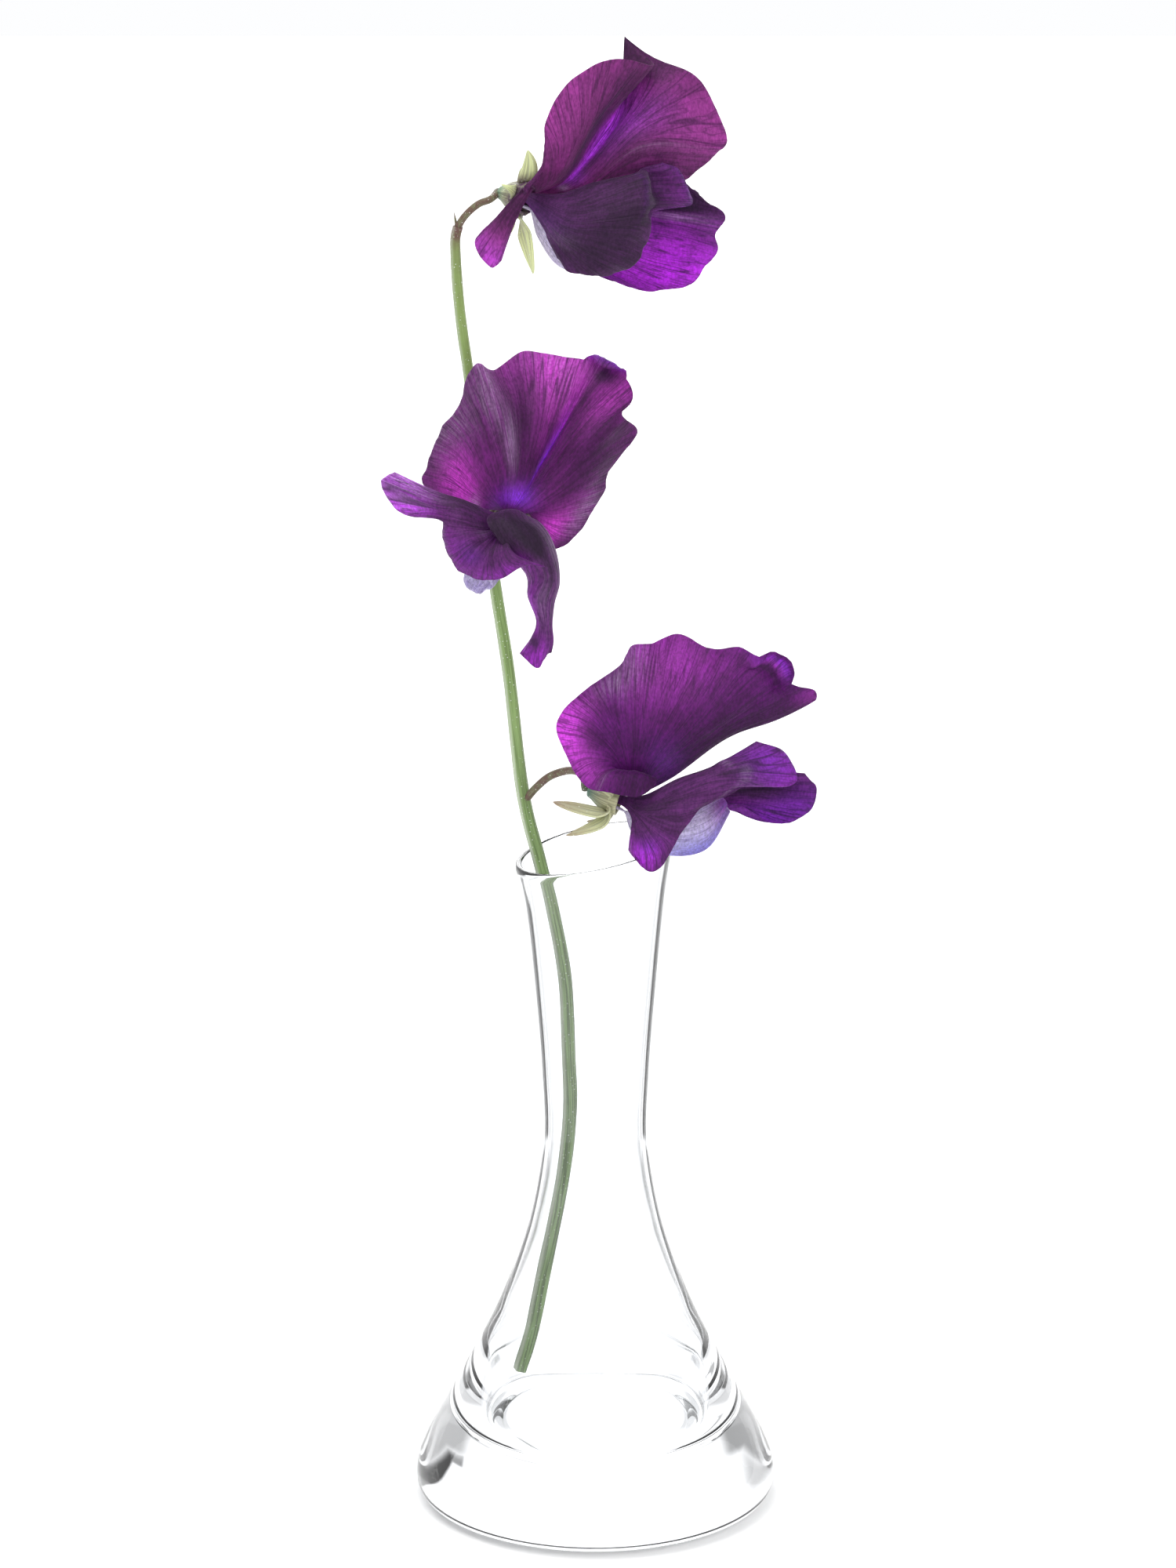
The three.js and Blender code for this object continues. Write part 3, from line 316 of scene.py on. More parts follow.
# Zones paint a blade, by kind: glow is bright magenta, partly the petal's own colour and partly painted light
# shining through it; violet is bright blue-violet, the petal's own colour, and in a few thin lines along
# margins a painted highlight; dark is plum, partly the petal's own darker plum and partly painted shade in
# creases, hollows, folds and under rolled margins; and sheen is painted grey sheen and highlights along
# ridges, folds and edges. Each row is [rib, half-width in ribs, share of the way along the rib, half-width in
# share, strength]. A hem rolls a stretch of the margin: [from rib, to rib, radius, turn in degrees, reach]. A
# push
# folds or swells a blade: [rib, half-width in ribs, share of the way, half-width in share, the way that it
# moves in millimetres].
# A flank is the side of the flower that a petal sits on: [to the side, towards the standard].
# A standard's tone is its purple, its glow and its violet. A flush is the colour of a calyx's brown parts.
# A sepal is [its tip, its width towards the tip, how long it stays full, the degrees that it turns].
FLOWERS = [
    {
        "name": "top", "seat": [-12.4, 2, 250.1], "tilt": 11.3, "axis": [0.8, -0.2, 0.56],
        "rise": [0.3, 0.92, -0.1], "pedicel_radius": 0.7, "flush": [84, 44, 84],
        "sepal_tone": [216, 226, 168], "cup_flush": 1, "sepal_flush": 0,
        "pedicel": [
            [-25.2, 3.3, 243], [-24.5, 3.2, 245.5], [-22.9, 3, 247.6], [-21, 3, 249.1], [-19, 3, 249.9],
        ],
        "standard_tone": [[118, 48, 112], [172, 86, 164], [158, 76, 180]],
        "sepals": [
            [[0.2, 8.8, 1.4], 1.5, 3, 80], [[-4.6, 2.6, 4.4], 0.7, 1.6, 0], [[-3, -6, 3.4], 0.9, 2, 30],
            [[1.1, -13.4, 1], 1.8, 2.6, 80], [[0, 2, -8], 1, 2, 0],
        ],
        "petals": {
            "standard": {
                "net": TOP_STANDARD, "flank": [0, 1],
                "pushes": [
                    [11, 0.7, 0.68, 0.18, [-1, 0.3, -2.2]], [11.5, 0.35, 1, 0.1, [-0.8, -1, 0]],
                    [9.4, 0.7, 0.68, 0.2, [-0.6, 0.2, 1.2]], [14.5, 0.35, 0.85, 0.25, [0, 0.4, 1.2]],
                    [3.8, 0.6, 0.9, 0.2, [-1.4, -0.4, 0.6]], [3, 0.45, 0.95, 0.16, [2, -2.4, 0]],
                    [1.9, 0.6, 1, 0.14, [-0.4, 0.8, 0]],
                ],
                "zones": {
                    "glow": [
                        [6.5, 2.4, 0.98, 0.28, 0.5], [13.6, 1.8, 0.97, 0.2, 0.5], [0.8, 2, 0.97, 0.16, 0.8],
                        [10.6, 0.4, 0.72, 0.07, 0.4],
                    ],
                    "violet": [
                        [0.8, 2, 0.97, 0.12, 0.45], [10.65, 0.55, 0.62, 0.17, 1],
                        [11.8, 1.6, 0.74, 0.13, 0.55], [11.2, 1.3, 0.5, 0.05, 0.7],
                    ],
                    "dark": [
                        [9.3, 0.6, 0.72, 0.22, 0.85], [11, 0.8, 1, 0.12, 1], [13.4, 0.8, 0.69, 0.07, 0.45],
                        [15.4, 0.7, 0.85, 0.3, 0.35], [3.6, 0.8, 0.85, 0.3, 0.6], [1.5, 3, 0.62, 0.1, 0.5],
                    ],
                    "sheen": [[14.5, 0.12, 0.8, 0.15, 0.3], [11.8, 0.9, 0.42, 0.025, 0.9]],
                },
            },
            "wing_near": {
                "net": TOP_NEAR_WING, "flank": [1, 0],
                "pushes": [
                    [1.2, 1.3, 0.9, 0.05, [-2.4, 0, -3]], [1.5, 1.6, 0.79, 0.05, [0.4, 0, 1.2]],
                    [3, 0.5, 0.97, 0.06, [-0.8, 0, 0]],
                ],
                "zones": {
                    "glow": [[1.2, 1.4, 0.97, 0.1, 0.4]],
                    "violet": [
                        [6, 3, 0.3, 0.12, 0.3], [1.6, 1.8, 0.8, 0.012, 0.5], [1.4, 1.6, 1, 0.02, 0.5],
                    ],
                    "dark": [[4.5, 5, 0.68, 0.38, 0.85], [1.6, 1.2, 0.87, 0.05, 0.4]],
                    "sheen": [[6.4, 1.4, 0.42, 0.1, 0.35]],
                },
            },
            "wing_far": {
                "net": TOP_FAR_WING, "flank": [-1, 0],
                "pushes": [
                    [1.55, 0.3, 1, 0.1, [-1.7, 0, 0]], [1.25, 0.2, 0.82, 0.16, [0, 0.3, 1]],
                    [3.4, 0.5, 1, 0.14, [1.4, -1.4, 0]], [4.6, 0.4, 1, 0.14, [-0.4, -0.8, 0]],
                ],
                "zones": {
                    "glow": [[3.2, 1.7, 0.9, 0.3, 0.8]],
                    "dark": [
                        [0.3, 0.6, 0.9, 0.3, 0.75], [0.9, 0.3, 0.8, 0.14, 0.9], [1.75, 0.3, 0.95, 0.1, 0.4],
                    ],
                    "sheen": [[1.3, 0.13, 0.82, 0.16, 0.6]],
                },
            },
            "keel": {
                "net": TOP_KEEL, "flank": [0, -1],
                "zones": {
                    "violet": [[2, 3, 1, 0.15, 0.3]],
                },
            },
        },
    },
    {
        "name": "middle", "seat": [-15.6, -8, 193.4], "tilt": 14.1, "axis": [-0.1, -0.35, 0.93],
        "rise": [0.15, 0.93, 0.33], "pedicel_radius": 0.6, "flush": [66, 32, 72],
        "sepal_tone": [198, 208, 150], "cup_flush": 1, "sepal_flush": 0,
        "pedicel": [[-20.9, 5.8, 187.5], [-19, 6, 191], [-17, 4.6, 194.2], [-15.6, 2.2, 195.2]],
        "standard_tone": [[112, 38, 116], [182, 78, 180], [158, 76, 206]],
        "sepals": [
            [[1, 9, -4], 1, 2, 0], [[8, 3, -6], 1, 2, 0], [[6, -6, -6], 1, 2, 0],
            [[-5.5, -6.5, -6], 1, 2, 0], [[-8, 3, -6], 1, 2, 0],
        ],
        "petals": {
            "standard": {
                "net": MIDDLE_STANDARD, "flank": [0, 1],
                "hems": [[7.9, 9.8, 1, 190, 0.6]],
                "pushes": [
                    [8.85, 0.6, 1, 0.08, [0, -0.8, 0]], [4.6, 0.5, 0.75, 0.2, [0, 0, 1.4]],
                    [5.6, 0.5, 0.75, 0.2, [0, 0, -1]], [8.2, 0.35, 0.7, 0.2, [0, 0, -1.5]],
                    [12, 0.5, 0.92, 0.1, [0, 0, 1.5]], [13, 0.5, 0.97, 0.1, [0, 0, -1.5]],
                ],
                "zones": {
                    "glow": [
                        [1.2, 1, 0.72, 0.17, 0.9], [16, 1.2, 0.7, 0.16, 0.9], [7, 1.7, 0.95, 0.17, 0.8],
                        [10.2, 0.9, 0.93, 0.12, 0.5], [8.1, 0.3, 0.68, 0.14, 0.6],
                    ],
                    "violet": [
                        [7.2, 4.5, 0.4, 0.09, 1], [8.1, 0.38, 0.63, 0.14, 0.9], [8.8, 0.8, 1.05, 0.03, 0.8],
                    ],
                    "dark": [
                        [5.7, 0.7, 0.76, 0.18, 0.75], [8.8, 0.3, 0.88, 0.14, 0.6],
                        [9, 0.7, 0.975, 0.025, 0.9], [13, 1.3, 0.78, 0.16, 0.75], [7, 6, 0.25, 0.03, 0.8],
                        [7.55, 0.25, 0.72, 0.12, 0.5],
                    ],
                    "sheen": [
                        [7, 1.4, 0.98, 0.12, 0.35], [0.7, 0.6, 0.57, 0.05, 0.8],
                        [4.2, 0.5, 0.92, 0.15, 0.75], [4.8, 0.4, 0.68, 0.12, 1], [2.4, 1, 0.95, 0.14, 0.45],
                        [15, 1, 0.9, 0.12, 0.6], [0, 0.2, 0.78, 0.2, 0.7],
                    ],
                },
            },
            "wing_left": {
                "net": MIDDLE_LEFT_WING, "flank": [1, 0],
                "pushes": [
                    [1, 0.3, 0.92, 0.12, [0, 0.3, 1.2]], [8, 1.1, 1, 0.2, [4.4, 0.2, 4.8]],
                    [7.55, 0.3, 1, 0.1, [0, 1.1, 0]], [8, 1.2, 0.6, 0.24, [0.4, 0, 4.5]],
                ],
                "zones": {
                    "glow": [
                        [0.35, 0.8, 0.95, 0.15, 0.7], [1.8, 0.6, 0.92, 0.14, 1], [7, 1.4, 0.92, 0.12, 0.5],
                        [4.6, 1.2, 0.85, 0.12, 0.4],
                    ],
                    "violet": [[5.2, 0.8, 0.7, 0.1, 0.5]],
                    "dark": [[0.5, 1, 0.62, 0.14, 0.6], [8, 0.8, 0.42, 0.2, 0.8]],
                    "sheen": [
                        [0.35, 0.8, 0.95, 0.15, 1], [1.8, 0.5, 0.93, 0.1, 0.5], [3.9, 0.5, 0.97, 0.05, 0.6],
                        [4.2, 0.6, 0.44, 0.08, 0.5],
                    ],
                },
            },
            "wing_right": {
                "net": MIDDLE_RIGHT_WING, "flank": [-1, 0],
                "pushes": [
                    [0, 0.6, 0.58, 0.07, [-2.4, 0.4, 0]], [0, 0.35, 0.72, 0.1, [0.3, 0, -1.2]],
                    [3, 0.35, 0.7, 0.2, [-0.2, 0, -1]],
                ],
                "zones": {
                    "glow": [
                        [0.2, 0.5, 0.5, 0.06, 0.7], [0.3, 0.6, 0.74, 0.12, 0.5], [1, 1.2, 0.96, 0.07, 0.6],
                    ],
                    "dark": [[1, 2, 0.36, 0.13, 1], [1.6, 0.5, 0.46, 0.1, 0.7], [0.45, 0.5, 0.92, 0.03, 1]],
                    "sheen": [
                        [1.5, 1, 0.72, 0.14, 0.35], [0, 0.3, 0.61, 0.06, 1], [2.9, 0.5, 0.44, 0.2, 0.7],
                        [0, 0.16, 0.92, 0.05, 0.8],
                    ],
                },
            },
            "keel": {
                "net": MIDDLE_KEEL, "flank": [0, -1],
                "pushes": [[1, 1, 1, 0.25, [-1.4, 0.6, 0]]],
                "zones": {
                    "violet": [[2, 3, 0.95, 0.2, 0.1]],
                },
            },
        },
    },
    {
        "name": "lower", "seat": [4.4, -10, 140.6], "tilt": 16.5, "axis": [0.93, -0.3, 0.15],
        "rise": [0.3, 0.95, 0], "pedicel_radius": 0.78, "flush": [150, 122, 104],
        "sepal_tone": [190, 192, 156], "cup_flush": 0.2, "sepal_flush": 0.9,
        "pedicel": [
            [-13.2, 6, 135.6], [-11, 4, 138.8], [-8.3, 1.4, 141.8], [-4.8, -2.2, 143.9], [-2.4, -6, 144.2],
        ],
        "standard_tone": [[106, 27, 118], [188, 84, 192], [138, 62, 174]],
        "sepals": [
            [[-7, 3.4, 3], 0.9, 2, 30], [[-12.2, -0.4, 1], 1.1, 9, 75], [[-9.8, -6.5, 2], 1, 4.5, 70],
            [[-6, -4, -6], 1, 2, 0], [[-6.4, 3, -6], 1, 2, 0],
        ],
        "petals": {
            "standard": {
                "net": LOWER_STANDARD, "flank": [0, 1],
                "hems": [[12.1, 14, 0.8, 70, 1.4]],
                "pushes": [
                    [7.5, 0.4, 0.9, 0.12, [0, 0, 1]], [9.5, 0.5, 0.95, 0.08, [0, 0, -1.2]],
                    [11, 0.4, 0.95, 0.08, [0, 0, 1]], [13.6, 0.9, 1, 0.08, [-0.7, -0.8, 0]],
                    [13.5, 1, 0.955, 0.02, [0, 0, -1.4]], [16, 0.9, 0.9, 0.12, [0.2, -1.3, 0]],
                    [16, 1, 0.55, 0.3, [0.3, -1.1, 0]], [12.35, 0.22, 1, 0.06, [0, -2.5, 0]],
                    [14.9, 0.5, 1, 0.06, [-0.2, 1, 0]],
                ],
                "zones": {
                    "glow": [
                        [4.9, 1, 0.93, 0.14, 1], [3.4, 1, 0.85, 0.2, 0.6], [9.6, 2.4, 0.9, 0.2, 0.5],
                        [15.1, 0.5, 0.99, 0.05, 0.4], [13, 0.5, 1, 0.02, 0.6], [4, 1.5, 0.33, 0.06, 0.4],
                    ],
                    "violet": [[13.5, 3, 0.5, 0.08, 0.6], [13.1, 0.7, 1.01, 0.022, 0.9]],
                    "dark": [
                        [15.2, 1.2, 0.7, 0.3, 0.7], [13, 1, 0.62, 0.15, 0.4], [13, 0.8, 0.962, 0.014, 1],
                        [0.6, 0.9, 0.8, 0.25, 0.5],
                    ],
                    "sheen": [[7.5, 1.2, 0.92, 0.1, 0.9], [2.4, 0.14, 0.85, 0.2, 0.4]],
                },
            },
            "wing_near": {
                "net": LOWER_NEAR_WING, "flank": [1, 0],
                "pushes": [
                    [0.4, 0.7, 0.83, 0.03, [0, 0.3, 1]], [1.8, 0.7, 0.87, 0.03, [0, 0.3, 1]],
                    [7, 0.6, 0.9, 0.12, [0, 0, -1.5]],
                ],
                "zones": {
                    "glow": [
                        [1, 0.7, 0.95, 0.05, 0.5], [2, 0.5, 0.97, 0.05, 0.4], [7, 1, 0.85, 0.15, 1],
                        [6.5, 0.8, 0.74, 0.1, 0.5],
                    ],
                    "violet": [[1.2, 1.2, 0.94, 0.08, 0.75], [6.4, 0.7, 0.7, 0.1, 0.6]],
                    "dark": [[3.4, 1.2, 0.5, 0.12, 0.5]],
                    "sheen": [
                        [0.5, 0.6, 0.83, 0.014, 0.6], [1.8, 0.6, 0.87, 0.014, 0.6],
                        [3, 0.6, 0.92, 0.02, 0.5], [8, 0.3, 0.9, 0.12, 0.7],
                    ],
                },
            },
            "wing_far": {
                "net": LOWER_FAR_WING, "flank": [-1, 0],
                "pushes": [
                    [1.1, 0.4, 0.85, 0.08, [0, 0, -1.5]], [4.2, 1.5, 0.8, 0.1, [0, 4.6, 0]],
                    [4, 0.7, 1, 0.14, [0, 2.8, 0]],
                ],
                "zones": {
                    "glow": [[3.6, 1, 0.92, 0.12, 0.6]],
                    "violet": [[2.4, 1.5, 0.95, 0.12, 0.8]],
                    "dark": [[1.1, 0.45, 0.83, 0.1, 0.95]],
                },
            },
            "keel": {
                "net": LOWER_KEEL, "flank": [0, -1],
                "zones": {
                    "glow": [[0.7, 1.6, 1, 0.15, 1]],
                    "violet": [[1.9, 0.7, 0.75, 0.2, 0.8]],
                },
            },
        },
    },
]


def paint(red, green, blue):
    """A colour of 0 to 255 per channel as Blender's linear red, green and blue."""
    share = np.array([red, green, blue]) / 255
    linear = np.where(share <= 0.04045, share / 12.92, ((share + 0.055) / 1.055) ** 2.4)
    return tuple(float(value) for value in linear)


def dim(colour, factor):
    """A colour times one factor, or times one for each channel."""
    return tuple(float(channel) for channel in np.array(colour) * np.array(factor))


# Petal colours. The grey that the sheen zones mix in is a painted sheen. A wing's zones are its glow, partly
# painted light shining through, its violet, and its shade, partly painted shade in folds and hollows. A
# keel's glow is the purple of its edge.
PAINTED_SHEEN_GREY = paint(178, 160, 184)
PETAL_SHEEN = paint(214, 196, 222)
STANDARD_SHADE = paint(56, 17, 62)
WING_ZONES = (paint(176, 62, 196), paint(130, 56, 164), paint(42, 26, 48))
KEEL_ZONES = (paint(150, 60, 170), paint(130, 120, 220), paint(120, 96, 160))
STEM_PALE = paint(214, 222, 200)
STEM_TEAL = paint(84, 130, 120)
STEM_YELLOW = paint(150, 180, 96)
CALYX_PALE = paint(226, 232, 206)
CALYX_TEAL = paint(78, 124, 114)
CALYX_YELLOW = paint(212, 216, 168)
SKIN_SPECKS = paint(236, 242, 230)


def unit(vectors):
    """Each vector over its own length."""
    return vectors / np.linalg.norm(vectors, axis=-1, keepdims=True)


def bell(value, centre, width, power=2):
    """One at the centre, falling to nought: e to the minus of (value less centre) over width, to a power."""
    return np.exp(-(((value - centre) / width) ** power))


def patch(rib, share, centre, width, place, reach):
    """A round patch on a blade: one bell over its ribs times another along them."""
    return np.exp(-(((rib[:, None] - centre) / width) ** 2) - ((share - place) / reach) ** 2)


def curve_at(points, share):
    """The uniform Catmull-Rom curve through points[0], points[1] and so on, at each share of the way.

    Between two points it is the cubic that leaves each of them parallel to the line through its neighbours.
    Past an end, the neighbour is the mirror of the next point in. With share[column, row], each column has
    its own curve, points[:, column].
    """
    padded = np.concatenate([2 * points[:1] - points[1:2], points, 2 * points[-1:] - points[-2:-1]])
    place = np.clip(share, 0, 1) * (len(points) - 1)
    start = np.minimum(place.astype(int), len(points) - 2)
    f = place - start
    if share.ndim == 2:
        column = np.arange(points.shape[1])[:, None]
        a, b, c, d = (padded[start + k, column] for k in range(4))
        f = f[..., None]
    else:
        a, b, c, d = (padded[start + k] for k in range(4))
        f = f.reshape((-1,) + (1,) * (points.ndim - 1))
    cubic = (2 * a - 5 * b + 4 * c - d) * f**2 + (3 * b - a - 3 * c + d) * f**3
    return 0.5 * (2 * b + (c - a) * f + cubic)


def even_curve(points, steps):
    """Points at even distances along the Catmull-Rom curve through points."""
    fine = curve_at(np.array(points, float), np.linspace(0, 1, 40 * len(points)))
    walked = np.append(0, np.cumsum(np.linalg.norm(np.diff(fine, axis=0), axis=1)))
    wanted = np.linspace(0, walked[-1], steps + 1)
    return np.stack([np.interp(wanted, walked, fine[:, k]) for k in range(3)], axis=1)


def normals_of(grid):
    """Unit normals of a grid[column, row]: the cross product of its step across and its step along."""
    return unit(np.cross(np.gradient(grid, axis=0), np.gradient(grid, axis=1)) + 1e-12)


def lengths_along(grid, axis):
    """Distance walked along an axis of the grid, from nought at its first line."""
    steps = np.linalg.norm(np.diff(grid, axis=axis), axis=-1)
    start = np.zeros_like(np.take(steps, [0], axis=axis))
    return np.concatenate([start, np.cumsum(steps, axis=axis)], axis=axis)


def directions(flower):
    """The flower's own directions: out of the cup, towards the standard, and to the side."""
    axis = unit(np.array(flower["axis"], float))
    rise = np.array(flower["rise"], float)
    rise = unit(rise - axis * (rise @ axis))
    return axis, rise, np.cross(axis, rise)


def put_in_place(flower, points):
    """Points of the flower's frame turned about +X by 90 degrees less its tilt, and moved to its seat."""
    tilt = np.radians(flower["tilt"])
    turn = np.array([[1, 0, 0], [0, np.sin(tilt), np.cos(tilt)], [0, -np.cos(tilt), np.sin(tilt)]])
    return np.array(flower["seat"]) + points @ turn


def petal_ribs(flower, petal):
    """Each rib of the net with its claw and throat put before it, as ribs[rib, point]."""
    axis, rise, side = directions(flower)
    net = np.array(petal["net"], float)
    outwards = side * petal["flank"][0] + rise * petal["flank"][1]
    across = np.cross(axis, outwards)
    if (net[0, 0] - net[-1, 0]) @ across < 0:
        across = -across
    share = np.linspace(0.5, -0.5, len(net))[:, None]
    claw = -CLAW_DEPTH * axis + CLAW_OFFSET * outwards + across * share * CLAW_WIDTH
    throat = THROAT_HEIGHT * axis + THROAT_OFFSET * outwards + across * share * THROAT_WIDTH
    return np.concatenate([claw[:, None], throat[:, None], net], axis=1)


def hem_lengths(petal, rib):
    """How far each column goes past the net's margin, with the radius and turn of its hem.

    In each hem the length is a hump, a half sine to the power 0.6, times the hem's arc and reach.
    """
    length = np.zeros_like(rib)
    radius = np.ones_like(rib)
    turn = np.zeros_like(rib)
    for first, last, hem_radius, degrees, reach in petal.get("hems", []):
        inside = np.clip((rib - first) / (last - first), 0, 1)
        hump = np.sin(np.pi * inside) ** 0.6
        on = (rib > first) & (rib < last)
        length = np.where(on, hump * (hem_radius * abs(np.radians(degrees)) + reach), length)
        radius = np.where(on, hem_radius, radius)
        turn = np.where(on, np.radians(degrees), turn)
    return length, radius, turn


def petal_grid(flower, petal, columns, rows):
    """A blade's middle surface in the flower's frame, as grid[column, row].

    The net is smoothed across its ribs and then along them. Past the margin a hem goes round a circle of
    its radius, in the plane of the rib's end and the blade's normal, and then straight on. Each push moves
    the blade by its way times a patch.
    """
    ribs = petal_ribs(flower, petal)
    points = np.swapaxes(curve_at(ribs, np.linspace(0, 1, columns + 1)), 0, 1)
    rib = np.linspace(0, len(ribs) - 1, columns + 1)
    plain = curve_at(points, np.tile(np.linspace(0, 1, RIB_SAMPLES), (columns + 1, 1)))
    whole = lengths_along(plain, 1)[:, -1]
    length, radius, turn = hem_lengths(petal, rib)
    share = np.linspace(0, 1, rows + 1)[None, :] * (1 + length / whole)[:, None]
    grid = curve_at(points, np.minimum(share, 1))
    outwards = unit(plain[:, -1] - plain[:, -3])[:, None]
    front = normals_of(plain)[:, -1][:, None] * np.sign(turn)[:, None, None]
    past = np.maximum(share - 1, 0)[..., None] * whole[:, None, None]
    radius = radius[:, None, None]
    angle = np.minimum(past / radius, np.abs(turn)[:, None, None])
    rest = past - angle * radius
    grid = grid + (radius * np.sin(angle) + rest * np.cos(angle)) * outwards
    grid = grid + (radius * (1 - np.cos(angle)) + rest * np.sin(angle)) * front
    for *where, way in petal.get("pushes", []):
        grid = grid + patch(rib, share, *where)[..., None] * np.array(way, float)
    return grid, rib, share


def ruffled(grid, look, seed):
    """Moves the grid along its normals: long ruffles that grow towards the margin, and fine pleats.

    Both are sums of sines of the distance along the margin, with a phase that drifts away from the claw.
    """
    draw = np.random.default_rng(seed)
    across = lengths_along(grid, 0)[:, int(grid.shape[1] * 0.8)][:, None]
    along = lengths_along(grid, 1)
    share = along / along[:, -1:]
    wave = np.zeros_like(share)
    for wavelength in RUFFLE_LENGTHS:
        phase, drift = draw.uniform(0, 6.28), draw.uniform(-0.25, 0.25)
        wave += wavelength * np.sin(WAVE_TURN * across / wavelength + phase + drift * along)
    wave *= look.ruffle_height / MM / RUFFLE_LENGTHS[0] * np.clip(share, 0, 1) ** 2.5
    for wavelength in PLEAT_LENGTHS:
        phase, drift = draw.uniform(0, 6.28), draw.uniform(-0.3, 0.3)
        pleat = np.sin(WAVE_TURN * across / wavelength + phase + drift * along)
        wave += look.pleat_height / MM * pleat * np.clip(share * 3 - 1, 0, 1)
    return grid + normals_of(grid) * wave[..., None]


def zone_colours(petal, rib, share):
    """How much of each kind of zone a point has: the sum of that kind's patches, as [.., 4]."""
    amount = np.zeros(share.shape + (4,))
    for channel, kind in enumerate(ZONE_KINDS):
        for *where, strength in petal["zones"].get(kind, []):
            amount[..., channel] += strength * patch(rib, share, *where)
    return np.clip(amount, 0, 1)


def blade_shell(grid, thickness, edge_share=0.3):
    """A closed shell round a grid[column, row].

    It has a face on either side, half the thickness away along the normals, and a strip round the border
    that joins them. Towards the border the thickness falls in a quarter circle to its edge share.
    """
    columns, rows = grid.shape[:2]
    u = np.minimum(np.arange(columns), np.arange(columns)[::-1])[:, None] / (0.04 * columns)
    v = np.arange(rows)[::-1][None, :] / (0.06 * rows)
    full = np.clip(np.minimum(u, v), 0, 1)
    half = 0.5 * thickness * (edge_share + (1 - edge_share) * np.sqrt(full * (2 - full)))[..., None]
    normals = normals_of(grid)
    points = np.stack([grid + normals * half, grid - normals * half]).reshape(-1, 3)
    count = columns * rows
    index = np.arange(count).reshape(columns, rows)
    corners = [index[:-1, :-1], index[1:, :-1], index[1:, 1:], index[:-1, 1:]]
    front = np.stack(corners, axis=-1).reshape(-1, 4)
    border = np.concatenate([index[:-1, 0], index[-1, :-1], index[:0:-1, -1], index[0, :0:-1]])
    after = np.roll(border, -1)
    strip = np.stack([after, border, border + count, after + count], axis=-1)
    return points, np.concatenate([front, front[:, ::-1] + count, strip])


def ring_wall(index):
    """Four-cornered faces between each ring of index[ring, side] and the next."""
    low, high = index[:-1], index[1:]
    return np.stack([low, np.roll(low, -1, 1), np.roll(high, -1, 1), high], axis=-1).reshape(-1, 4)


def tube_shell(centres, radii, sides, section=None):
    """A tube round a line of centres, with capped ends.

    Its cross directions are carried along so that they don't twist: each one is the last one less its part
    along the new tangent. A point is its centre plus its spoke times the radius times section[row, side].
    """
    tangents = unit(np.gradient(centres, axis=0))
    across = np.cross(tangents[0], [0.0, 1.0, 0.0])
    spokes = []
    for tangent in tangents:
        across = across - tangent * (across @ tangent)
        across = across / np.linalg.norm(across)
        spokes.append(across)
    first = np.array(spokes)
    second = np.cross(tangents, first)
    angle = np.linspace(0, 2 * np.pi, sides, endpoint=False)[None, :, None]
    spoke = first[:, None] * np.cos(angle) + second[:, None] * np.sin(angle)
    scale = radii[:, None] * (1 if section is None else section)
    points = centres[:, None] + spoke * (scale * np.ones((1, sides)))[..., None]
    index = np.arange(len(centres) * sides).reshape(-1, sides)
    return points, spoke, ring_wall(index).tolist() + [index[0, ::-1].tolist(), index[-1].tolist()]


def lathe_shell(profile, sides):
    """A profile of [radius, height] turned about the axis. It starts and ends there, so it is closed."""
    angle = np.linspace(0, 2 * np.pi, sides, endpoint=False)
    radius, height = profile[1:-1, :1], profile[1:-1, 1:]
    points = np.stack([radius * np.cos(angle), radius * np.sin(angle), height * np.ones(sides)], axis=-1)
    index = np.arange(len(radius) * sides).reshape(-1, sides)
    start, end = index.size, index.size + 1
    fans = [[start, after, before] for before, after in zip(index[0], np.roll(index[0], -1))]
    fans += [[end, before, after] for before, after in zip(index[-1], np.roll(index[-1], -1))]
    poles = np.array([[0, 0, profile[0, 1]], [0, 0, profile[-1, 1]]])
    faces = ring_wall(index).tolist() + [[int(corner) for corner in fan] for fan in fans]
    return np.concatenate([points.reshape(-1, 3), poles]), faces


def hair_shells(roots, ways, lengths, radius):
    """Four-sided cones: a square of the radius round each root, at right angles to its way, and a point."""
    ways = unit(ways)
    first = unit(np.cross(ways, np.array([0.31, 0.87, 0.39])))
    second = np.cross(ways, first)
    corners = [first, second, -first, -second]
    base = np.stack([roots + radius * corner for corner in corners], axis=1)
    points = np.concatenate([base, (roots + ways * lengths[:, None])[:, None]], axis=1)
    start = 5 * np.arange(len(roots))[:, None]
    sides = [start + np.array([k, (k + 1) % 4, 4]) for k in range(4)]
    faces = np.concatenate(sides).tolist() + (start + np.array([3, 2, 1, 0])).tolist()
    return points.reshape(-1, 3), faces, HAIR_ZONE, NO_PLACE


def gather(parts):
    """Puts several shells into one. Each is its points, faces, zones and surface coordinates."""
    points, faces, zones, places, offset = [], [], [], [], 0
    for part_points, part_faces, part_zones, part_places in parts:
        points.append(part_points)
        faces += [[corner + offset for corner in face] for face in part_faces]
        zones.append(np.broadcast_to(part_zones, (len(part_points), 4)))
        places.append(np.broadcast_to(part_places, (len(part_points), 2)))
        offset += len(part_points)
    return np.concatenate(points), faces, np.concatenate(zones), np.concatenate(places)


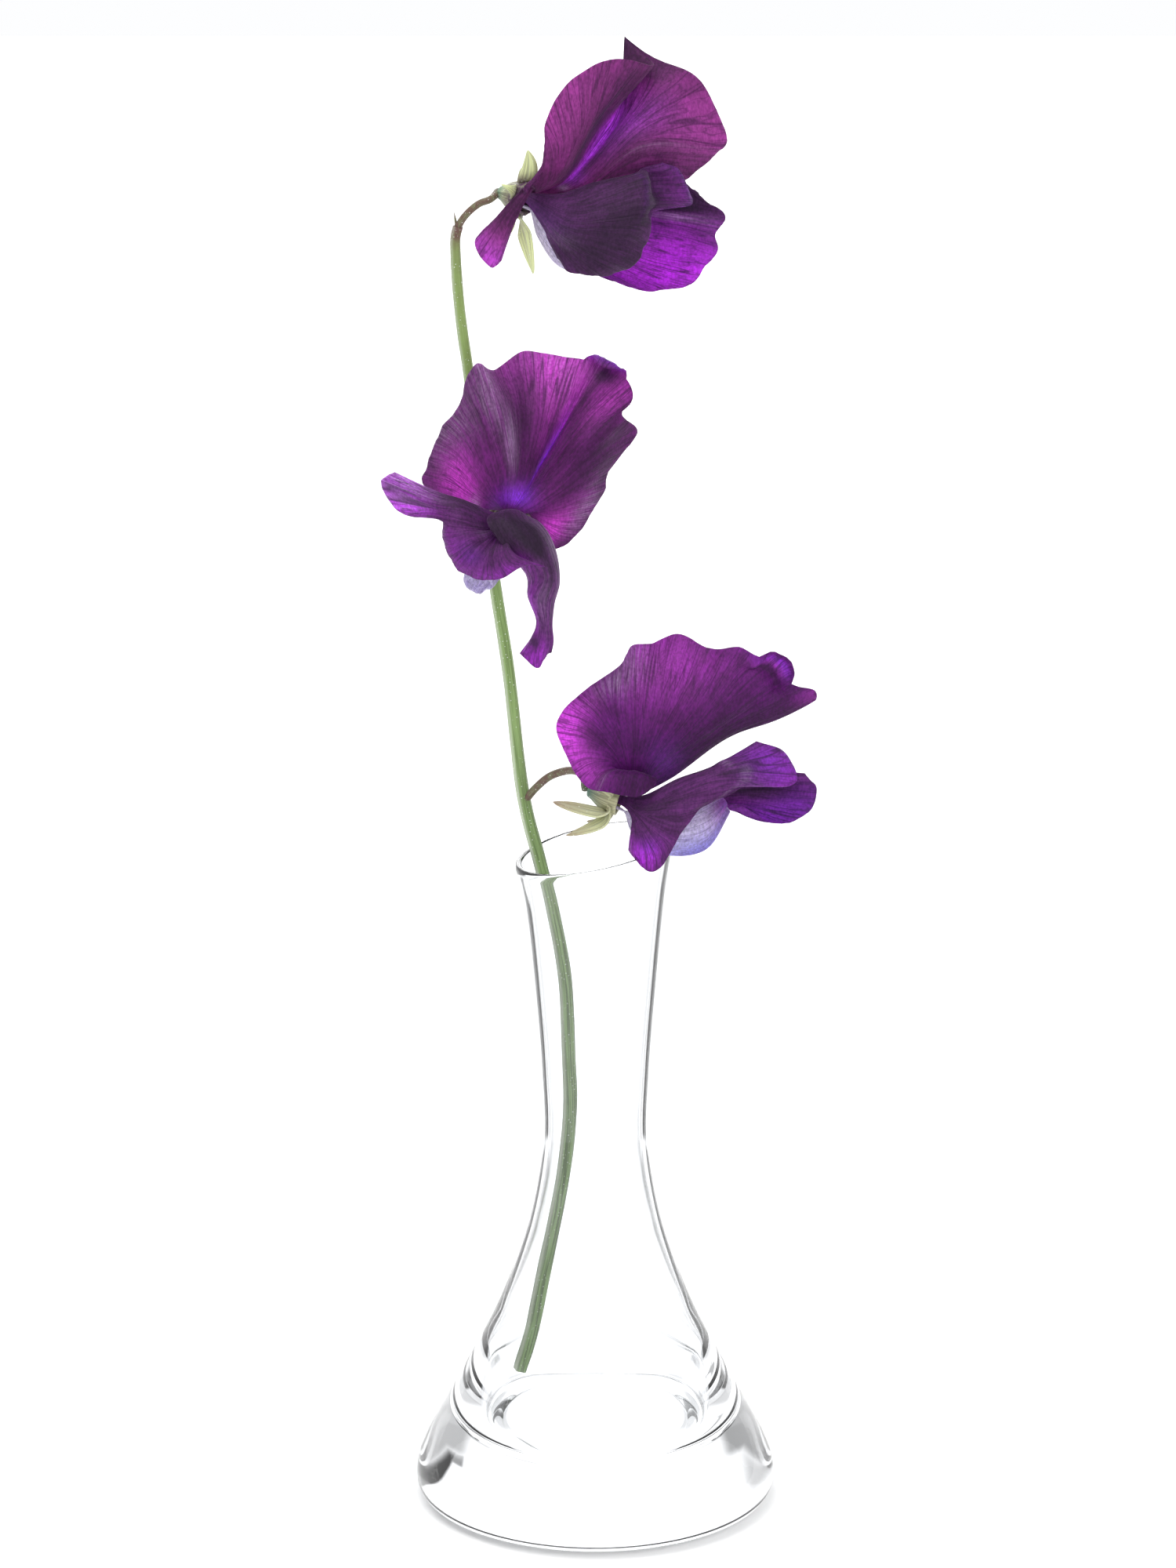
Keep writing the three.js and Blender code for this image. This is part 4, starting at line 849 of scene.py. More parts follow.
def add_piece(name, points, faces, material, zones=None, places=None):
    """A smooth mesh from points in millimetres, with its zones and its surface coordinates."""
    mesh = bpy.data.meshes.new(name)
    mesh.from_pydata((points * MM).tolist(), [], faces)
    mesh.polygons.foreach_set("use_smooth", [True] * len(mesh.polygons))
    if zones is not None:
        layer = mesh.attributes.new("Zones", "FLOAT_COLOR", "POINT")
        layer.data.foreach_set("color", np.ascontiguousarray(zones, np.float32).ravel())
    if places is not None:
        corners = np.zeros(len(mesh.loops), np.int32)
        mesh.loops.foreach_get("vertex_index", corners)
        layer = mesh.uv_layers.new(name="Surface")
        layer.data.foreach_set("uv", np.ascontiguousarray(places[corners], np.float32).ravel())
    mesh.materials.append(material)
    mesh.validate()
    piece = bpy.data.objects.new(name, mesh)
    bpy.context.scene.collection.objects.link(piece)
    return piece


def stand_for(piece, node):
    """Joins a piece to the part's one body, in the place of a node, and hides that node's piece."""
    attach(piece, "root")
    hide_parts(node)


class Finish:
    """A node tree. Each call adds a node and joins or sets its inputs."""

    def __init__(self, tree):
        self.tree = tree
        self.tree.nodes.clear()

    def node(self, kind, inputs=(), **settings):
        """Adds a node, and links or sets each input that is given."""
        node = self.tree.nodes.new(kind)
        for key, value in settings.items():
            setattr(node, key, value)
        for key, value in dict(inputs).items():
            if isinstance(value, bpy.types.NodeSocket):
                self.tree.links.new(value, node.inputs[key])
            else:
                node.inputs[key].default_value = value
        return node

    def math(self, operation, *values):
        """One arithmetic step on the values."""
        return self.node("ShaderNodeMath", dict(enumerate(values)), operation=operation).outputs[0]

    def times(self, first, second):
        """The product."""
        return self.math("MULTIPLY", first, second)

    def plus(self, first, second):
        """The sum."""
        return self.math("ADD", first, second)

    def less(self, first, second):
        """The first less the second."""
        return self.math("SUBTRACT", first, second)

    def most(self, first, second):
        """The larger of the two."""
        return self.math("MAXIMUM", first, second)

    def size(self, value):
        """The value without its sign."""
        return self.math("ABSOLUTE", value)

    def mix(self, share, first, second):
        """A colour that share of the way from the first to the second."""
        inputs = {0: share, 6: first, 7: second}
        return self.node("ShaderNodeMix", inputs, data_type="RGBA", blend_type="MIX").outputs[2]

    def spread(self, value, low, high, new_low=0.0, new_high=1.0):
        """Takes a value from one range to another, with a smooth step, and holds it at the ends."""
        inputs = {"Value": value, "From Min": low, "From Max": high, "To Min": new_low, "To Max": new_high}
        return self.node("ShaderNodeMapRange", inputs, interpolation_type="SMOOTHSTEP").outputs[0]

    def scaled(self, vector, scale, offset=(0, 0, 0)):
        """The vector times a scale for each axis, plus an offset."""
        inputs = {"Vector": vector, "Scale": scale, "Location": offset}
        return self.node("ShaderNodeMapping", inputs).outputs[0]

    def noise(self, vector, scale, detail=2.0, distortion=0.0):
        """Cloudy noise of 0 to 1, finer with a larger scale."""
        inputs = {"Vector": vector, "Scale": scale, "Detail": detail, "Distortion": distortion}
        return self.node("ShaderNodeTexNoise", inputs).outputs["Fac"]

    def lines(self, vector, width):
        """Thin branching lines: where a noise crosses its middle value."""
        level = self.size(self.less(self.noise(vector, 1.0, 1.0, 0.1), 0.5))
        return self.spread(level, 0.0, width, 1.0, 0.0)

    def tuned(self, colour, value, saturation=1.0):
        """The colour with its value and saturation multiplied."""
        inputs = {"Color": colour, "Saturation": saturation, "Value": value}
        return self.node("ShaderNodeHueSaturation", inputs).outputs[0]

    def surface(self):
        """The piece's own coordinates in millimetres: across it and along it."""
        return self.node("ShaderNodeUVMap", uv_map="Surface").outputs[0]

    def place(self):
        """Object coordinates, in metres."""
        return self.node("ShaderNodeTexCoord").outputs["Object"]

    def zones(self):
        """The four channels of the piece's zones."""
        found = self.node("ShaderNodeAttribute", attribute_name="Zones")
        parts = self.node("ShaderNodeSeparateColor", {"Color": found.outputs["Color"]}).outputs
        return parts[0], parts[1], parts[2], found.outputs["Alpha"]

    def bump(self, height, distance, strength=1.0, under=None):
        """Normals tilted by the slope of a height, times a distance in metres."""
        inputs = {"Height": height, "Distance": distance, "Strength": strength}
        if under is not None:
            inputs["Normal"] = under
        return self.node("ShaderNodeBump", inputs).outputs[0]

    def face(self, **inputs):
        """The main surface shader, its inputs named with low lines for spaces."""
        named = {key.replace("_", " "): value for key, value in inputs.items()}
        return self.node("ShaderNodeBsdfPrincipled", named).outputs[0]

    def lit_through(self, share, face, colour):
        """The face, with a share of the light that passes through in a colour."""
        back = self.node("ShaderNodeBsdfTranslucent", {"Color": colour}).outputs[0]
        return self.node("ShaderNodeMixShader", {0: share, 1: face, 2: back}).outputs[0]

    def done(self, shader, kind="ShaderNodeOutputMaterial"):
        """Joins the shader to the tree's output."""
        self.node(kind, {"Surface": shader})


def new_material(name):
    """An empty material and its node tree."""
    material = bpy.data.materials.new(name)
    material.use_nodes = True
    return material, Finish(material.node_tree)


def solid(colour):
    """A colour with full alpha, as a colour socket takes it."""
    return (*colour[:3], 1.0)


def petal_finish(name, purples, zones, through, look):
    """Velvety veined petal: mottled purple, its zones, painted sheen, dark branching veins, light through.

    The purples are a deep one and a middle one. The zones are the glow, partly painted light shining through,
    the violet and the shade, which is also painted shade in folds and hollows. The colour goes from the deep
    purple to the middle one by long streaks and a fine mottle, then to each zone's colour by that zone's
    amount, and then by the sheen zone to a painted grey sheen. Where two noises cross their middle value, it
    is veined with the shade.
    """
    material, s = new_material(name)
    deep, middle = (solid(colour) for colour in purples)
    glow, violet, shade = (solid(colour) for colour in zones)
    surface, place = s.surface(), s.place()
    glow_zone, violet_zone, dark_and_shade_zone, sheen_zone = s.zones()
    streaks = s.noise(s.scaled(surface, (1.1, 0.09, 1)), 1.0, 4.0, 0.4)
    mottle = s.noise(place, 260.0, 4.0)
    tone = s.plus(s.times(streaks, 0.6), s.times(mottle, 0.4))
    colour = s.mix(s.spread(tone, 0.36, 0.64), deep, middle)
    # Glow: partly the petal's own magenta, partly painted light shining through it.
    colour = s.mix(glow_zone, colour, glow)
    # Violet: the petal's own blue-violet, and in a few thin lines along margins a painted highlight.
    colour = s.mix(violet_zone, colour, violet)
    # The dark zone is partly the petal's own darker plum and partly painted shade in creases, hollows and
    # folds.
    colour = s.mix(s.times(dark_and_shade_zone, 0.85), colour, shade)
    # The sheen zone paints grey sheen and highlights along ridges, folds and edges.
    threads = s.noise(s.scaled(surface, (3.2, 0.12, 1)), 1.0, 3.0)
    painted_sheen = s.times(sheen_zone, s.spread(threads, 0.35, 0.65, 0.25, 1.0))
    colour = s.mix(s.times(painted_sheen, 0.75), colour, solid(PAINTED_SHEEN_GREY))
    main = s.lines(s.scaled(surface, (0.8, 0.035, 1)), 0.03)
    fine = s.lines(s.scaled(surface, (2.1, 0.14, 1), (7, 3, 0)), 0.06)
    veins = s.most(s.times(main, 0.8), s.times(fine, 0.5))
    strength = s.times(s.plus(s.times(s.most(glow_zone, violet_zone), 0.8), 1.0), look.vein_strength)
    veined = s.mix(s.times(veins, strength), colour, shade)
    grain = s.noise(s.scaled(place, (1, 1, 0.6)), 2300.0, 3.0)
    veined = s.tuned(veined, s.spread(grain, 0.3, 0.7, 0.8, 1.2))
    cells = s.noise(place, 5200.0, 1.0)
    relief = s.bump(s.less(1.0, veins), 0.00012, 0.6)
    face = s.face(
        Base_Color=veined, Roughness=s.spread(cells, 0.2, 0.8, 0.48, 0.68), Specular_IOR_Level=0.3,
        Sheen_Weight=look.sheen, Sheen_Roughness=0.42, Sheen_Tint=solid(PETAL_SHEEN),
        Normal=s.bump(cells, 0.00003, 0.5, relief))
    s.done(s.lit_through(look.light_through, face, s.tuned(veined, through, 1.05)))
    return material


def green_finish(name, base, pale, brown, teal, yellow):
    """Fresh green skin with lengthwise streaks and pale specks, its zones, and a soft gloss."""
    material, s = new_material(name)
    surface, place = s.surface(), s.place()
    pale_zone, brown_zone, teal_zone, yellow_zone = s.zones()
    streaks = s.noise(s.scaled(surface, (2.4, 0.07, 1)), 1.0, 4.0, 0.2)
    colour = s.mix(s.spread(streaks, 0.4, 0.6), solid(dim(base, 0.62)), solid(dim(base, 1.4)))
    colour = s.mix(yellow_zone, colour, solid(yellow))
    colour = s.mix(teal_zone, colour, solid(teal))
    blotch = s.spread(s.noise(place, 900.0, 3.0), 0.35, 0.6, 0.7, 1.0)
    colour = s.mix(s.times(brown_zone, blotch), colour, solid(brown))
    colour = s.mix(pale_zone, colour, solid(pale))
    specks = s.node("ShaderNodeTexVoronoi", {"Vector": place, "Scale": 1400.0}).outputs["Distance"]
    crowded = s.spread(s.noise(place, 300.0, 2.0), 0.38, 0.48)
    dots = s.times(s.spread(specks, 0.1, 0.2, 1.0, 0.0), crowded)
    colour = s.mix(s.times(dots, 0.85), colour, solid(SKIN_SPECKS))
    height = s.plus(streaks, s.times(s.noise(place, 3000.0, 2.0), 0.3))
    face = s.face(
        Base_Color=colour, Roughness=s.spread(streaks, 0.3, 0.7, 0.42, 0.6), Specular_IOR_Level=0.4,
        Sheen_Weight=0.15, Normal=s.bump(height, 0.00008, 0.7))
    s.done(s.lit_through(0.22, face, colour))
    return material


def glass_finish(tint, ripple):
    """Clear blown glass: a faint ripple in its surface and a trace of smears."""
    material, s = new_material("clear_glass")
    place = s.place()
    waves = s.noise(s.scaled(place, (1, 1, 0.5)), 38.0, 1.0)
    smears = s.spread(s.noise(place, 55.0, 3.0), 0.55, 0.75, 0.0, 0.012)
    s.done(s.face(
        Base_Color=solid(tint), Roughness=smears, IOR=1.5, Transmission_Weight=1.0,
        Normal=s.bump(waves, ripple, 0.5)))
    return material


def floor_finish(colour):
    """Plain matt paper, with the faintest mottling."""
    material, s = new_material("pale_paper")
    mottle = s.spread(s.noise(s.place(), 6.0, 3.0), 0.3, 0.7)
    tone = s.mix(s.times(mottle, 0.02), solid(colour), solid(dim(colour, 0.97)))
    s.done(s.node("ShaderNodeBsdfDiffuse", {"Color": tone, "Roughness": 1.0}).outputs[0])
    return material


class VaseSettings(bpy.types.PropertyGroup):
    wall_sides: bpy.props.IntProperty(
        name="Sides", description="Facets round the vase", default=144, min=48, max=256)
    lip_radius: bpy.props.FloatProperty(
        name="Lip radius", description="Roundness of the polished rim", default=0.0006,
        min=0.0002, max=0.0008, subtype="DISTANCE", unit="LENGTH")
    ripple: bpy.props.FloatProperty(
        name="Ripple", description="Depth of the waves in the blown wall", default=0.00002,
        min=0, max=0.001, precision=5, subtype="DISTANCE", unit="LENGTH")
    tint: bpy.props.FloatVectorProperty(
        name="Tint", description="Colour of the clear glass", default=paint(252, 253, 254),
        size=3, min=0, max=1, subtype="COLOR")


class StemSettings(bpy.types.PropertyGroup):
    ridge_height: bpy.props.FloatProperty(
        name="Ridge height", description="Share by which the stem's ridges stand out", default=0.1,
        min=0, max=0.2, subtype="FACTOR")
    hair_length: bpy.props.FloatProperty(
        name="Hair length", description="Length of the short pale hairs", default=0.00045,
        min=0.0001, max=0.002, precision=5, subtype="DISTANCE", unit="LENGTH")
    green: bpy.props.FloatVectorProperty(
        name="Green", description="Colour of the stem's skin", default=paint(134, 160, 108),
        size=3, min=0, max=1, subtype="COLOR")
    brown: bpy.props.FloatVectorProperty(
        name="Brown", description="Colour of the flower stalks", default=paint(110, 78, 72),
        size=3, min=0, max=1, subtype="COLOR")
    sepal_tint: bpy.props.FloatVectorProperty(
        name="Sepal tint", description="Scales the colours of the calyces", default=(1, 1, 1),
        size=3, min=0, max=2, subtype="COLOR")


class PetalSettings(bpy.types.PropertyGroup):
    thickness: bpy.props.FloatProperty(
        name="Thickness", description="Thickness of a petal away from its margin", default=0.0003,
        min=0.0001, max=0.0006, precision=5, subtype="DISTANCE", unit="LENGTH")
    ruffle_height: bpy.props.FloatProperty(
        name="Ruffle height", description="Height of the ruffles at the margin", default=0.0003,
        min=0, max=0.001, precision=5, subtype="DISTANCE", unit="LENGTH")
    pleat_height: bpy.props.FloatProperty(
        name="Pleat height", description="Height of the fine pleats along the veins", default=0.00003,
        min=0, max=0.0002, precision=6, subtype="DISTANCE", unit="LENGTH")
    vein_strength: bpy.props.FloatProperty(
        name="Veins", description="How dark the veins are", default=0.55, min=0, max=1, subtype="FACTOR")
    light_through: bpy.props.FloatProperty(
        name="Light through", description="Share of the light that passes through a petal", default=0.5,
        min=0, max=1, subtype="FACTOR")
    sheen: bpy.props.FloatProperty(
        name="Sheen", description="Velvet sheen at glancing angles", default=0.25,
        min=0, max=1, subtype="FACTOR")
    tone: bpy.props.FloatVectorProperty(
        name="Tone", description="Scales the colour of the standards", default=(1, 1, 1),
        size=3, min=0, max=2, subtype="COLOR")
    plum: bpy.props.FloatVectorProperty(
        name="Plum", description="Colour of the wings", default=paint(114, 54, 124),
        size=3, min=0, max=1, subtype="COLOR")
    lavender: bpy.props.FloatVectorProperty(
        name="Lavender", description="Colour of the keels", default=paint(236, 230, 246),
        size=3, min=0, max=1, subtype="COLOR")


class StageSettings(bpy.types.PropertyGroup):
    floor_width: bpy.props.FloatProperty(
        name="Floor width", description="Width of the paper floor", default=3.2,
        min=2, max=40, subtype="DISTANCE", unit="LENGTH")
    paper: bpy.props.FloatVectorProperty(
        name="Paper", description="Colour of the floor", default=(0.98, 0.98, 0.98),
        size=3, min=0, max=1, subtype="COLOR")
    brightness: bpy.props.FloatProperty(
        name="Brightness", description="Scales every light", default=1.0, min=0.1, max=4)


class SWEETPEA_OT_vase(bpy.types.Operator):
    """Adds the clear glass vase with its slanted rim and thick base"""
    bl_idname = "sweetpea.vase"
    bl_label = "Vase"

    def execute(self, context):
        look = context.scene.sweetpea_vase
        lip = look.lip_radius / MM
        shoulder = RIM_HEIGHT - lip
        outside = curve_at(np.array(VASE_OUTSIDE, float), np.linspace(0, 1, OUTSIDE_ROWS))
        inside = curve_at(np.array(VASE_INSIDE, float), np.linspace(1, 0, INSIDE_ROWS))
        outside = outside[outside[:, 1] < shoulder]
        inside = inside[inside[:, 1] < shoulder]
        middle = (outside[-1, 0] + inside[0, 0]) / 2
        half = (outside[-1, 0] - inside[0, 0]) / 2
        turn = np.linspace(RIM_TURN, np.pi - RIM_TURN, RIM_ROWS)
        rim = np.stack([middle + half * np.cos(turn), shoulder + lip * np.sin(turn)], axis=1)
        profile = np.concatenate([VASE_FOOT, outside, rim, inside, VASE_FLOOR])
        points, faces = lathe_shell(profile, look.wall_sides)
        raised = np.maximum((points[:, 2] - RIM_SLOPE_START) / (RIM_HEIGHT - RIM_SLOPE_START), 0)
        points[:, 2] += RIM_SLOPE * points[:, 0] * raised**2
        piece = add_piece("glass_bud_vase", points, faces, glass_finish(look.tint, look.ripple))
        stand_for(piece, "vase")
        return {"FINISHED"}


class SWEETPEA_OT_stem(bpy.types.Operator):
    """Adds the ridged stem with its three flower stalks, bristle and short hairs"""
    bl_idname = "sweetpea.stem"
    bl_label = "Stem"

    def stalk(self, route, radii, sides, zone, section=None):
        """A tube along the even curve through a route: its shell, its grid of points and their ways outwards.

        Its surface coordinates are ten times the share of the way round, and the distance walked along it.
        """
        rings = len(radii)
        grid, spoke, faces = tube_shell(even_curve(route, rings - 1), radii, sides, section)
        angle = np.linspace(0, 1, sides, endpoint=False)[None, :] * np.ones((rings, 1))
        places = np.stack([angle * 10, lengths_along(grid, 0)], axis=-1)
        return (grid.reshape(-1, 3), faces, zone.reshape(-1, 4), places.reshape(-1, 2)), grid, spoke

    def hairs(self, grid, spoke, count, length, radius, draw):
        """Short cones on points drawn at random, each along its point's way outwards plus a random turn."""
        rows = draw.integers(2, grid.shape[0] - 2, count)
        sides = draw.integers(0, grid.shape[1], count)
        roots, ways = grid[rows, sides], spoke[rows, sides]
        ways = ways + draw.normal(0, 0.35, ways.shape)
        return hair_shells(roots - HAIR_SINK * ways, ways, length * draw.uniform(0.4, 1.2, count), radius)

    def main_stem(self, ridge_height):
        """A tapered tube. Its section is a circle plus cosine ridges, a low strip and faint swellings."""
        share = np.linspace(0, 1, STEM_RINGS)
        angle = np.linspace(0, 2 * np.pi, STEM_SIDES, endpoint=False)[None, :]
        ridges = 1.04 + ridge_height * np.cos(STEM_RIDGES * angle + RIDGE_TURN)
        strip = bell(angle, RIDGE_TURN, 0.5, 4)
        swell = 0.02 * np.sin(83 * share + 1) * np.sin(37 * share)
        zone = np.zeros((STEM_RINGS, STEM_SIDES, 4))
        zone[..., 0] = 0.8 * strip * np.clip(1.8 - 1.8 * share, 0.4, 1)[:, None]
        zone[..., 1] = (0.9 * bell(share, 1, 0.012) + 0.35 * np.clip(share * 5 - 4, 0, 1))[:, None]
        zone[..., 3] = 0.75 * np.clip(share * 1.6 - 0.5, 0, 1)[:, None]
        radii = STEM_RADIUS_FOOT + (STEM_RADIUS_TOP - STEM_RADIUS_FOOT) * share
        return self.stalk(STEM_ROUTE, radii, STEM_SIDES, zone, ridges + 0.06 * strip + swell[:, None])

    def flower_stalk(self, flower):
        """A thin tube to the base of the flower's cup. Its radius is swelled by a bell at either end."""
        base = directions(flower)[0] * -(CUP_BASE + SEAT_GAP)
        share = np.linspace(0, 1, STALK_RINGS)
        end = bell(share, 1, 0.12)[:, None]
        zone = np.zeros((STALK_RINGS, STALK_SIDES, 4))
        zone[..., 1] = 0.95 - 0.35 * end
        zone[..., 2] = 0.6 * end
        swell = 0.93 + 0.22 * bell(share, 1, 0.1) + 0.05 * bell(share, 0, 0.08)
        radii = flower["pedicel_radius"] * np.minimum(swell, 1.12)
        return self.stalk([*flower["pedicel"], put_in_place(flower, base)], radii, STALK_SIDES, zone)

    def execute(self, context):
        look = context.scene.sweetpea_stem
        draw = np.random.default_rng(STEM_SEED)
        length = look.hair_length / MM
        stem, grid, spoke = self.main_stem(look.ridge_height)
        parts = [stem, self.hairs(grid, spoke, STEM_HAIRS, length, STEM_HAIR_RADIUS, draw)]
        brown = np.tile([0, 0.85, 0, 0], (BRISTLE_RINGS, BRISTLE_SIDES, 1))
        taper = BRISTLE_RADIUS * np.linspace(1, 0.08, BRISTLE_RINGS)
        parts.append(self.stalk(BRISTLE_ROUTE, taper, BRISTLE_SIDES, brown)[0])
        for flower in FLOWERS:
            stalk, grid, spoke = self.flower_stalk(flower)
            hairs = self.hairs(grid, spoke, STALK_HAIRS, length * 0.8, STALK_HAIR_RADIUS, draw)
            parts += [stalk, hairs]
        green = green_finish("stem_skin", look.green, STEM_PALE, look.brown, STEM_TEAL, STEM_YELLOW)
        points, faces, zones, places = gather(parts)
        stand_for(add_piece("green_stem", points, faces, green, zones, places), "stem")
        return {"FINISHED"}


class SWEETPEA_OT_calyces(bpy.types.Operator):
    """Adds the three calyces, each a ribbed cup with five pointed sepals"""
    bl_idname = "sweetpea.calyces"
    bl_label = "Calyces"

    def cup(self, flower):
        """The cup's profile turned about the flower's axis, its radius swelled by the cosine of its ribs."""
        axis, rise, side = directions(flower)
        profile = curve_at(np.array(CUP_PROFILE, float), np.linspace(0, 1, CUP_ROWS))
        profile[:, 0] = np.maximum(profile[:, 0], 0)
        profile[0], profile[-1] = CUP_PROFILE[0], CUP_PROFILE[-1]
        points, faces = lathe_shell(profile, CUP_SIDES)
        x, y, height = points[:, :1], points[:, 1:2], points[:, 2]
        angle = np.arctan2(points[:, 1], points[:, 0])
        off_axis = np.hypot(points[:, 0], points[:, 1]) > 1
        swell = 1 + CUP_RIB_HEIGHT * np.cos(CUP_RIBS * angle) * off_axis
        placed = swell[:, None] * (x * side + y * rise) + height[:, None] * axis
        zone = np.zeros((len(points), 4))
        zone[:, 1] = flower["cup_flush"] * np.clip(1.4 + height / 4, 0, 1)
        zone[:, 2] = 0.85 * bell(height, -CUP_BASE, 2.2)
        zone[:, 3] = 0.5 * np.clip(1 + height / 4, 0, 1)
        return placed, faces, zone, np.stack([angle * 3, height], axis=1)

    def sepal(self, flower, tip, width, fullness, degrees):
        """A blade along the quadratic Bezier from the cup's wall to the tip.

        Its half-width is the root's, times one less the share of the way to the power of its fullness. It
        turns on its spine. Its sides lift by the square of their place, and its midrib by a bell.
        """
        axis, rise, side = directions(flower)
        tip = np.array(tip, float)
        outwards = unit(rise * (tip @ rise) + side * (tip @ side))
        root = -SEPAL_ROOT_DEPTH * axis + SEPAL_ROOT_RADIUS * outwards
        bend = root + SEPAL_BEND_RISE * axis + SEPAL_BEND_REACH * outwards
        share = np.linspace(0, 1, SEPAL_ROWS)[None, :, None]
        spine = (1 - share) ** 2 * root + 2 * share * (1 - share) * bend + share**2 * tip
        across = np.cross(axis, outwards)
        place = np.linspace(-1, 1, SEPAL_COLUMNS)[:, None, None]
        half = SEPAL_HALF_WIDTH * (1 + (width - 1) * share) * (1 - 0.97 * share**fullness)
        up = unit(np.cross(across, np.gradient(spine[0], axis=0)))[None]
        turn = np.radians(degrees) * np.clip(share * 2, 0, 1)
        across, up = across * np.cos(turn) + up * np.sin(turn), up * np.cos(turn) - across * np.sin(turn)
        grid = spine + across * place * half
        grid = grid + up * (0.22 * half * place**2 + 0.1 * bell(place, 0, 0.16) * np.sin(np.pi * share))
        points, faces = blade_shell(grid, SEPAL_THICKNESS)
        share, place = share[..., 0], place[..., 0]
        end = np.clip((share - 0.55) / 0.45, 0, 1) ** 1.5
        zone = np.zeros(grid.shape[:2] + (4,))
        zone[..., 0] = 0.35 * bell(place, 0, 0.1)
        zone[..., 1] = np.maximum(flower["sepal_flush"] * end, flower["cup_flush"] * (1 - share) ** 3)
        zone[..., 3] = 0.35 + 0.3 * end
        places = np.stack([np.tile(place * 2, (1, SEPAL_ROWS)), lengths_along(grid, 1)], axis=-1)
        zone, places = np.tile(zone.reshape(-1, 4), (2, 1)), np.tile(places.reshape(-1, 2), (2, 1))
        return (points, faces.tolist(), zone, places), grid

    def fringe(self, grid, draw, length):
        """Short cones along both margins of a sepal, pointing away from it."""
        edge = np.concatenate([grid[0, 6:-2], grid[-1, 6:-2]])
        away = np.concatenate([grid[0, 6:-2] - grid[1, 6:-2], grid[-1, 6:-2] - grid[-2, 6:-2]])
        chosen = draw.integers(0, len(edge), FRINGE_HAIRS)
        ways = unit(away[chosen]) + draw.normal(0, 0.45, (FRINGE_HAIRS, 3))
        lengths = length * draw.uniform(0.4, 1.1, FRINGE_HAIRS)
        return hair_shells(edge[chosen] - FRINGE_SINK * ways, ways, lengths, FRINGE_HAIR_RADIUS)

    def execute(self, context):
        look = context.scene.sweetpea_stem
        draw = np.random.default_rng(CALYX_SEED)
        for flower in FLOWERS:
            name = flower["name"]
            skin = dim(paint(*flower["sepal_tone"]), look.sepal_tint)
            green = green_finish(
                f"calyx_skin_{name}", skin, CALYX_PALE, paint(*flower["flush"]), CALYX_TEAL, CALYX_YELLOW)
            parts = [self.cup(flower)]
            for sepal in flower["sepals"]:
                blade, grid = self.sepal(flower, *sepal)
                parts += [blade, self.fringe(grid, draw, look.hair_length / MM)]
            points, faces, zones, places = gather(parts)
            points = put_in_place(flower, points)
            piece = add_piece(f"green_calyx_{name}", points, faces, green, zones, places)
            stand_for(piece, f"calyx_{name}")
        return {"FINISHED"}


def add_petals(number, finish, wanted, look):
    """Adds one flower's petals of a wanted kind: standard, wing or keel.

    The seed of a petal's ruffles is its kind's first one, plus ten for each flower before its own and one for
    each petal of its flower before it. Its surface coordinates are the distances walked across and along it.
    """
    flower = FLOWERS[number]
    rows, across, first_seed = PETAL_GRIDS[wanted]
    for order, (kind, petal) in enumerate(flower["petals"].items()):
        if not kind.startswith(wanted):
            continue
        long_rows = rows * 2 if len(petal["net"][0]) > LONG_RIB else rows
        grid, rib, share = petal_grid(flower, petal, across * (len(petal["net"]) - 1), long_rows)
        zones = np.tile(zone_colours(petal, rib, share).reshape(-1, 4), (2, 1))
        grid = ruffled(grid, look, first_seed + 10 * number + order)
        reach = lengths_along(grid, 0)[:, int(long_rows * 0.75)][:, None] * np.ones((1, long_rows + 1))
        places = np.stack([reach, lengths_along(grid, 1)], axis=-1).reshape(-1, 2)
        points, faces = blade_shell(grid, look.thickness / MM)
        points = put_in_place(flower, points)
        name = f"{kind}_{flower['name']}"
        piece = add_piece(f"petal_{name}", points, faces.tolist(), finish, zones, np.tile(places, (2, 1)))
        stand_for(piece, name)


class SWEETPEA_OT_standards(bpy.types.Operator):
    """Adds the standard, the broad upper petal, of each flower"""
    bl_idname = "sweetpea.standards"
    bl_label = "Standards"

    def execute(self, context):
        look = context.scene.sweetpea_petals
        for number, flower in enumerate(FLOWERS):
            purple, glow, violet = (paint(*tone) for tone in flower["standard_tone"])
            purple = dim(purple, look.tone)
            finish = petal_finish(
                f"standard_velvet_{flower['name']}", (dim(purple, 0.5), purple),
                (glow, violet, STANDARD_SHADE), DARK_PETAL_THROUGH, look)
            add_petals(number, finish, "standard", look)
        return {"FINISHED"}


class SWEETPEA_OT_wings(bpy.types.Operator):
    """Adds the two wing petals of each flower"""
    bl_idname = "sweetpea.wings"
    bl_label = "Wings"

    def execute(self, context):
        look = context.scene.sweetpea_petals
        purples = dim(look.plum, 0.5), look.plum
        finish = petal_finish("wing_velvet", purples, WING_ZONES, DARK_PETAL_THROUGH, look)
        for number in range(len(FLOWERS)):
            add_petals(number, finish, "wing", look)
        return {"FINISHED"}


class SWEETPEA_OT_keels(bpy.types.Operator):
    """Adds the pale keel, the boat of the two lower petals, of each flower"""
    bl_idname = "sweetpea.keels"
    bl_label = "Keels"

    def execute(self, context):
        look = context.scene.sweetpea_petals
        purples = dim(look.lavender, 0.8), look.lavender
        finish = petal_finish("keel_satin", purples, KEEL_ZONES, KEEL_THROUGH, look)
        for number in range(len(FLOWERS)):
            add_petals(number, finish, "keel", look)
        return {"FINISHED"}


